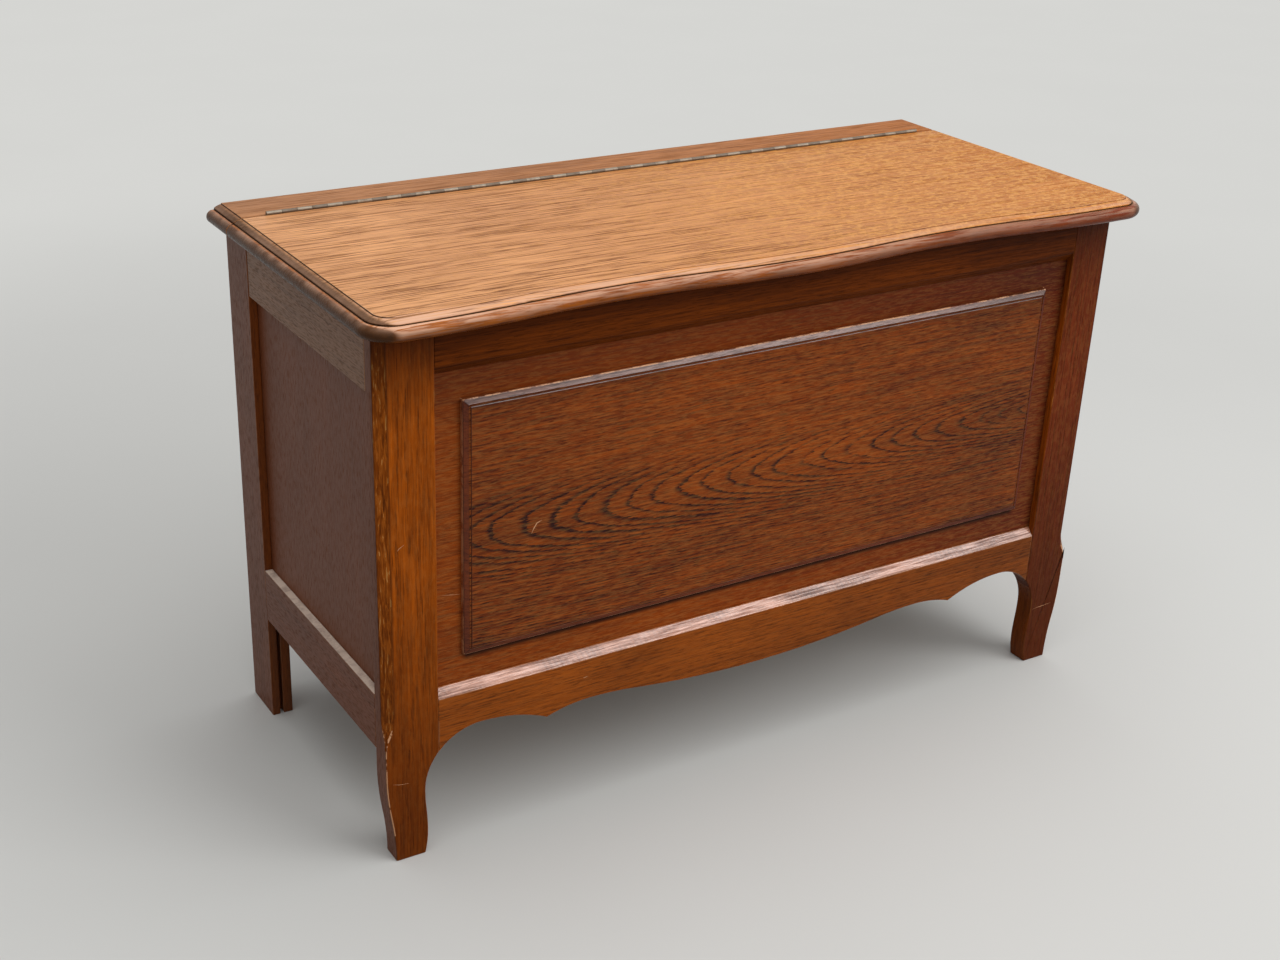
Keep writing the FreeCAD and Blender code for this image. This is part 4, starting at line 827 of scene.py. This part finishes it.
class CHEST_OT_side_frames(bpy.types.Operator):
    """Rear posts and the rails of sides and back"""
    bl_idname = "chest.side_frames"
    bl_label = "Side and back frames"

    def execute(self, context):
        finish, sizes = context.scene.chest_finish, context.scene.chest_joinery
        # The sides take the side colour, partly painted shade, and their low ledges dust and a painted sheen
        board = {"heart": (0.3, 0.25, 0.1), "taper": 0.02, "ring": 4.0 * MM, "dark": finish.side_dark, "lines": 0.2,
                 "pores": 0.4, "streaks": 0.7, "patches": 0.5, "specular": 0.2, "dust_and_sheen": 1.0, "wear": 0.3}
        woods = {axis: oak("stained_oak_sides_" + axis.lower(), axis, light=finish.side_light_and_shade, **board)
                 for axis in "XYZ"}
        faded = oak("faded_oak_top_rails", "Y", light=finish.side_rail, **board)
        # Painted light: the rear posts' front-facing edges take a paler, warmer colour than the sides
        inner = oak("stained_oak_inner_edges_lit", "Z", light=finish.inner, feet=0.4, **{**board, "wear": 0.0})
        grain = {"rear_left_post": "Z", "rear_right_post": "Z", "left_top_rail": "Y", "left_bottom_rail": "Y",
                 "right_top_rail": "Y", "right_bottom_rail": "Y", "back_top_rail": "X", "back_bottom_rail": "X"}
        for name, axis in grain.items():
            mesh = worked_mesh(name, sizes.arris)
            wood = faded if name in ("left_top_rail", "right_top_rail") else woods[axis]
            if axis == "Z":
                for face in mesh.polygons:
                    face.material_index = int(face.normal.y < -SQUARE)
            show(name + "_oak", mesh, [wood, inner] if axis == "Z" else [wood], "carcase", [name])
        return {"FINISHED"}


class CHEST_OT_flat_panels(bpy.types.Operator):
    """Veneered side panels, plywood back and bottom, cleats and dowels: packed solids with their wood"""
    bl_idname = "chest.flat_panels"
    bl_label = "Panels and bottom"

    def execute(self, context):
        finish = context.scene.chest_finish
        # The side panels take the side colour, partly painted shade
        veneer = oak("stained_oak_veneer", "Z", heart=(0.35, 0.3, 0.1), taper=0.02, ring=5 * MM,
                     light=finish.side_light_and_shade, dark=finish.side_dark, lines=0.08, pores=0.15, streaks=0.35,
                     patches=0.4, specular=0.2)
        plywood = bare_wood("bare_plywood", "X", finish.plywood, ring=6)
        pine = {axis: bare_wood("sawn_softwood_" + axis.lower(), axis, finish.pine, ring=4) for axis in "XY"}
        beech = bare_wood("turned_beech", "Z", finish.beech, ring=3)
        dress({"left_panel": veneer, "right_panel": veneer, "back_panel": plywood, "bottom_board": plywood,
               "front_cleat": pine["X"], "back_cleat": pine["X"], "left_cleat": pine["Y"], "right_cleat": pine["Y"],
               "strip_dowels": beech})
        return {"FINISHED"}


class CHEST_OT_top(bpy.types.Operator):
    """Fixed rear strip and waved lid with one moulding round them"""
    bl_idname = "chest.top"
    bl_label = "Strip and lid"

    def execute(self, context):
        finish, sizes = context.scene.chest_finish, context.scene.chest_joinery
        # The moulding's pale marks are rubbed varnish and painted highlights
        moulded = {"along": "X", "moulding": True, "worn": finish.bloom_and_highlight}
        lid_log = {"heart": (0.03, 0.16, -0.42), "taper": 0.03, "ring": 3.4 * MM, "lines": 0.2, **moulded}
        strip_wood = oak("stained_oak_strip", heart=(0.05, 0.1, -0.45), taper=0.02, ring=3.6 * MM,
                         light=finish.strip_light, right=finish.strip_right, dark=finish.strip_dark, lines=0.25,
                         pores=0.6, pore=(2.4, 50), streaks=1.5, streak=(6, 160), patches=0.6, specular=0.10, **moulded)
        lid_wood = oak("stained_oak_lid", light=finish.lid_light, right=finish.lid_right, dark=finish.lid_dark,
                       pores=0.95, pore=(1.9, 60), crisp=(0.5, 0.6), streaks=1.8, streak=(2.0, 150), patches=0.5,
                       patch=(90, 120), fleck=0.75, ray=(5, 8), flecked=(-0.25, 0.2), wear=0.9, gloss=0.38,
                       specular=0.11, **lid_log)
        nose_wood = oak("varnished_oak_nose", light=finish.nose, right=finish.nose_right, dark=finish.nose_dark,
                        pores=0.4, pore=(1.9, 24), streaks=1.8, streak=(4, 70), patches=1.2, patch=(20, 60),
                        wear=0.75, gloss=0.24, specular=0.1, coat=0.05, **lid_log)
        end, front, back = STRIP_HIGH.x, STRIP_LOW.y, STRIP_HIGH.y
        runs = [[(-end, back), (-end, (front + back) / 2), (-end, front)],
                [(end, front), (end, (front + back) / 2), (end, back)]]
        strip = moulded_board("rear_strip", runs, foot=0, material=strip_wood, seam=sizes.seam)
        show("rear_strip_oak", strip, [strip_wood, nose_wood], "carcase", ["rear_top_strip"])
        lid = moulded_board("lid", [lid_edge(sizes)], foot=LID_LOW.z - STRIP_LOW.z, material=lid_wood, seam=sizes.seam)
        show("lid_oak_board", lid, [lid_wood, nose_wood], "lid", ["lid_board"])
        return {"FINISHED"}


class CHEST_OT_marks(bpy.types.Operator):
    """Scratches and chips that show bare wood: thin slivers pinched at both ends"""
    bl_idname = "chest.marks"
    bl_label = "Scratches"

    def execute(self, context):
        bare = bare_wood("scratched_oak", "X", context.scene.chest_finish.worn, ring=3)
        field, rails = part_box("front_panel")[0].y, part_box("front_apron_rail")[0].y
        margin = field + 7.6 * MM
        # Millimetres to the right and up, width in millimetres, and the face that each lies on
        marks = {
            "panel_oak": [([(-277.7, 348.4), (-283.3, 346.4), (-286.5, 341.7), (-289.2, 336.3)], 1.2, field),
                          ([(-383, 287.4), (-374, 286), (-363, 284.2)], 0.5, margin)],
            "frame_oak": [([(-433, 351), (-430.9, 353.4), (-425.7, 356.4)], 0.9, rails),
                          ([(-443, 94), (-436.7, 91.8), (-424.8, 90)], 0.5, rails),
                          ([(410, 73), (424.6, 73.8), (440, 74.8)], 0.6, rails),
                          ([(-227.1, 155.9), (-224, 156.1), (-221.1, 156.6)], 1.0, rails)]}
        # A sliver's section: half widths aside and millimetres out of the face
        section = ((-1, 0.02), (0, 0.08), (1, 0.02), (0, -0.3))
        for slot, lines in marks.items():
            spots, faces = [], []
            for line, width, face in lines:
                first, last = len(spots), len(line) - 1
                for i, (x, z) in enumerate(line):
                    along = Vector(line[min(i + 1, last)]) - Vector(line[max(i - 1, 0)])
                    pinch = 1 if 0 < i < last else 0.15
                    aside = Vector((-along.y, along.x)).normalized() * width / 2 * pinch
                    for part, rise in section:
                        spots.append(((x + part * aside.x) * MM, face - rise * MM, (z + part * aside.y) * MM))
                for i in range(last):
                    a, b = first + 4 * i, first + 4 * i + 4
                    faces += [(a + k, a + (k + 1) % 4, b + (k + 1) % 4, b + k) for k in range(4)]
                faces += [tuple(first + k for k in (3, 2, 1, 0)), tuple(first + 4 * last + k for k in range(4))]
            mesh = bpy.data.meshes.new(slot + "_scratches")
            mesh.from_pydata(spots, [], faces)
            work = bmesh.new()
            work.from_mesh(mesh)
            bmesh.ops.recalc_face_normals(work, faces=work.faces)
            work.to_mesh(mesh)
            work.free()
            show(slot + "_scratches", mesh, [bare], "carcase", [])
        return {"FINISHED"}


class CHEST_OT_hinge(bpy.types.Operator):
    """Leaves, knuckles and pin of the continuous hinge: packed solids in aged steel"""
    bl_idname = "chest.hinge"
    bl_label = "Continuous hinge"

    def execute(self, context):
        finish = context.scene.chest_finish
        steel = aged_steel("aged_plated_steel", finish.plate, roughness=0.34)
        darker = aged_steel("tarnished_steel", finish.tarnish, roughness=0.42)
        dress({"hinge_fixed_leaf": steel, "hinge_lid_leaf": darker, "hinge_pin": steel})
        return {"FINISHED"}


class CHEST_OT_screws(bpy.types.Operator):
    """Slotted wood screws in the hinge leaves and the cleats"""
    bl_idname = "chest.screws"
    bl_label = "Screws"

    def execute(self, context):
        sizes = context.scene.chest_screws
        steel = aged_steel("plated_screw_steel", context.scene.chest_finish.screw, roughness=0.3)
        tree = screw_tree()
        reach = LEAF_HIGH.x - sizes.hinge_end
        height = frame["joints"][0]["pos_m"][2] - 10 * MM
        sets = []
        for name, way, body in (("hinge_fixed_leaf", 1, "carcase"), ("hinge_lid_leaf", -1, "lid")):
            low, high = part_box(name + "_screws")
            face = low.y if way > 0 else high.y
            places = [((x, face, height), (0, way, 0)) for x in evenly(-reach, reach, sizes.hinge_count)]
            sets.append((name + "_slotted_screws", places, "hinge", body, [name + "_screws"]))
        cleats, replaced = [], []
        # The axis that each cleat's screws point along, which way, and how many there are
        for name, axis, way, count in (("front", 1, -1, 4), ("back", 1, 1, 4), ("left", 0, -1, 2), ("right", 0, 1, 2)):
            replaced.append(name + "_cleat_screws")
            low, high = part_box(replaced[-1])
            row = evenly(low[1 - axis] + sizes.cleat_head, high[1 - axis] - sizes.cleat_head, count)
            for along in row:
                spot, aim = Vector((along, along, (low.z + high.z) / 2)), Vector((0, 0, 0))
                spot[axis], aim[axis] = low[axis] if way > 0 else high[axis], way
                cleats.append((spot, aim))
        sets.append(("cleat_slotted_screws", cleats, "cleat", "carcase", replaced))
        for seed, (name, places, kind, body, replaced) in enumerate(sets, 3):
            spots = bpy.data.meshes.new(name + "_places")
            spots.from_pydata([place for place, _ in places], [], [])
            aims = spots.attributes.new("aim", "FLOAT_VECTOR", "POINT")
            for held, (_, aim) in zip(aims.data, places):
                held.vector = aim
            holder = placed(name + "_places", spots)
            lengths = {"Head radius": "_head", "Head depth": "_sink", "Shank radius": "_shank", "Length": "_long"}
            values = {label: getattr(sizes, kind + part) for label, part in lengths.items()}
            mesh = evaluated(holder, tree, {**values, "Seed": seed, "Metal": steel})
            bpy.data.objects.remove(holder)
            show(name, mesh, [steel], body, replaced)
        return {"FINISHED"}


class CHEST_OT_studio(bpy.types.Operator):
    """Pale floor, two diffusers, even sky and the camera"""
    bl_idname = "chest.studio"
    bl_label = "Studio"

    def execute(self, context):
        scene = context.scene
        studio = scene.chest_studio
        scene.view_settings.view_transform = "Standard"
        far = 30
        plane = bpy.data.meshes.new("studio_floor")
        plane.from_pydata([(-far, -far, 0), (far, -far, 0), (far, far, 0), (-far, far, 0)], [], [(0, 1, 2, 3)])
        plane.materials.append(matt_floor(studio.floor))
        floor = placed("studio_floor", plane)
        world = bpy.data.worlds.new("studio_sky")
        world.use_nodes = True
        world.node_tree.nodes.clear()
        add = partial(node, world.node_tree)
        glow = add("ShaderNodeBackground", (1, 1, 1, 1), studio.sky)
        backdrop = add("ShaderNodeBackground", studio.floor, 1)
        add("ShaderNodeOutputWorld", add("ShaderNodeMixShader", seen_directly(add), glow, backdrop))
        scene.world = world
        aim = Vector((0, -0.17, 0.33))
        for name, place, size, power in (("top_diffuser", (0.3, -0.5, 3.4), (4.5, 4.0), studio.top_light),
                                         ("front_diffuser", (2.85, -3.75, 3.0), (3.6, 2.5), studio.key_light)):
            lamp = bpy.data.lights.new(name, "AREA")
            lamp.shape = "RECTANGLE"
            lamp.size, lamp.size_y = size
            lamp.energy = power
            rig = placed(name, lamp)
            rig.location = place
            rig.rotation_euler = (aim - Vector(place)).to_track_quat("-Z", "Y").to_euler()
            rig.visible_camera = False
        camera = bpy.data.cameras.new("photo_camera")
        camera.sensor_width = 36
        camera.lens = studio.lens
        camera.shift_x, camera.shift_y = studio.shift
        camera.clip_end = 100
        scene.camera = placed("photo_camera", camera)
        scene.camera.location = studio.camera_place
        scene.camera.rotation_euler = studio.camera_turn
        return {"FINISHED"}


class CHEST_PT_pieces(bpy.types.Panel):
    """Buttons for the chest's pieces, with their sizes and colours"""
    bl_label = "Oak blanket chest"
    bl_idname = "CHEST_PT_pieces"
    bl_space_type = "VIEW_3D"
    bl_region_type = "UI"
    bl_category = "Chest"

    def draw(self, context):
        for operator in OPERATORS:
            self.layout.operator(operator.bl_idname)
        for label, group in GROUPS.items():
            box = self.layout.box()
            box.label(text=group.__doc__)
            for item in group.__annotations__:
                box.prop(getattr(context.scene, label), item)


GROUPS = {"chest_joinery": CHEST_PG_joinery, "chest_finish": CHEST_PG_finish, "chest_screws": CHEST_PG_screws,
          "chest_studio": CHEST_PG_studio}
OPERATORS = [CHEST_OT_front_frame, CHEST_OT_front_panel, CHEST_OT_side_frames, CHEST_OT_flat_panels, CHEST_OT_top,
             CHEST_OT_marks, CHEST_OT_hinge, CHEST_OT_screws, CHEST_OT_studio]


def register():
    for group in GROUPS.values():
        bpy.utils.register_class(group)
    for label, group in GROUPS.items():
        setattr(bpy.types.Scene, label, PointerProperty(type=group))
    for operator in OPERATORS:
        bpy.utils.register_class(operator)
    bpy.utils.register_class(CHEST_PT_pieces)


def unregister():
    bpy.utils.unregister_class(CHEST_PT_pieces)
    for operator in reversed(OPERATORS):
        bpy.utils.unregister_class(operator)
    for label, group in GROUPS.items():
        delattr(bpy.types.Scene, label)
        bpy.utils.unregister_class(group)


def main():
    register()
    for operator in OPERATORS:
        family, name = operator.bl_idname.split(".")
        getattr(getattr(bpy.ops, family), name)()


if __name__ == "__main__":
    main()
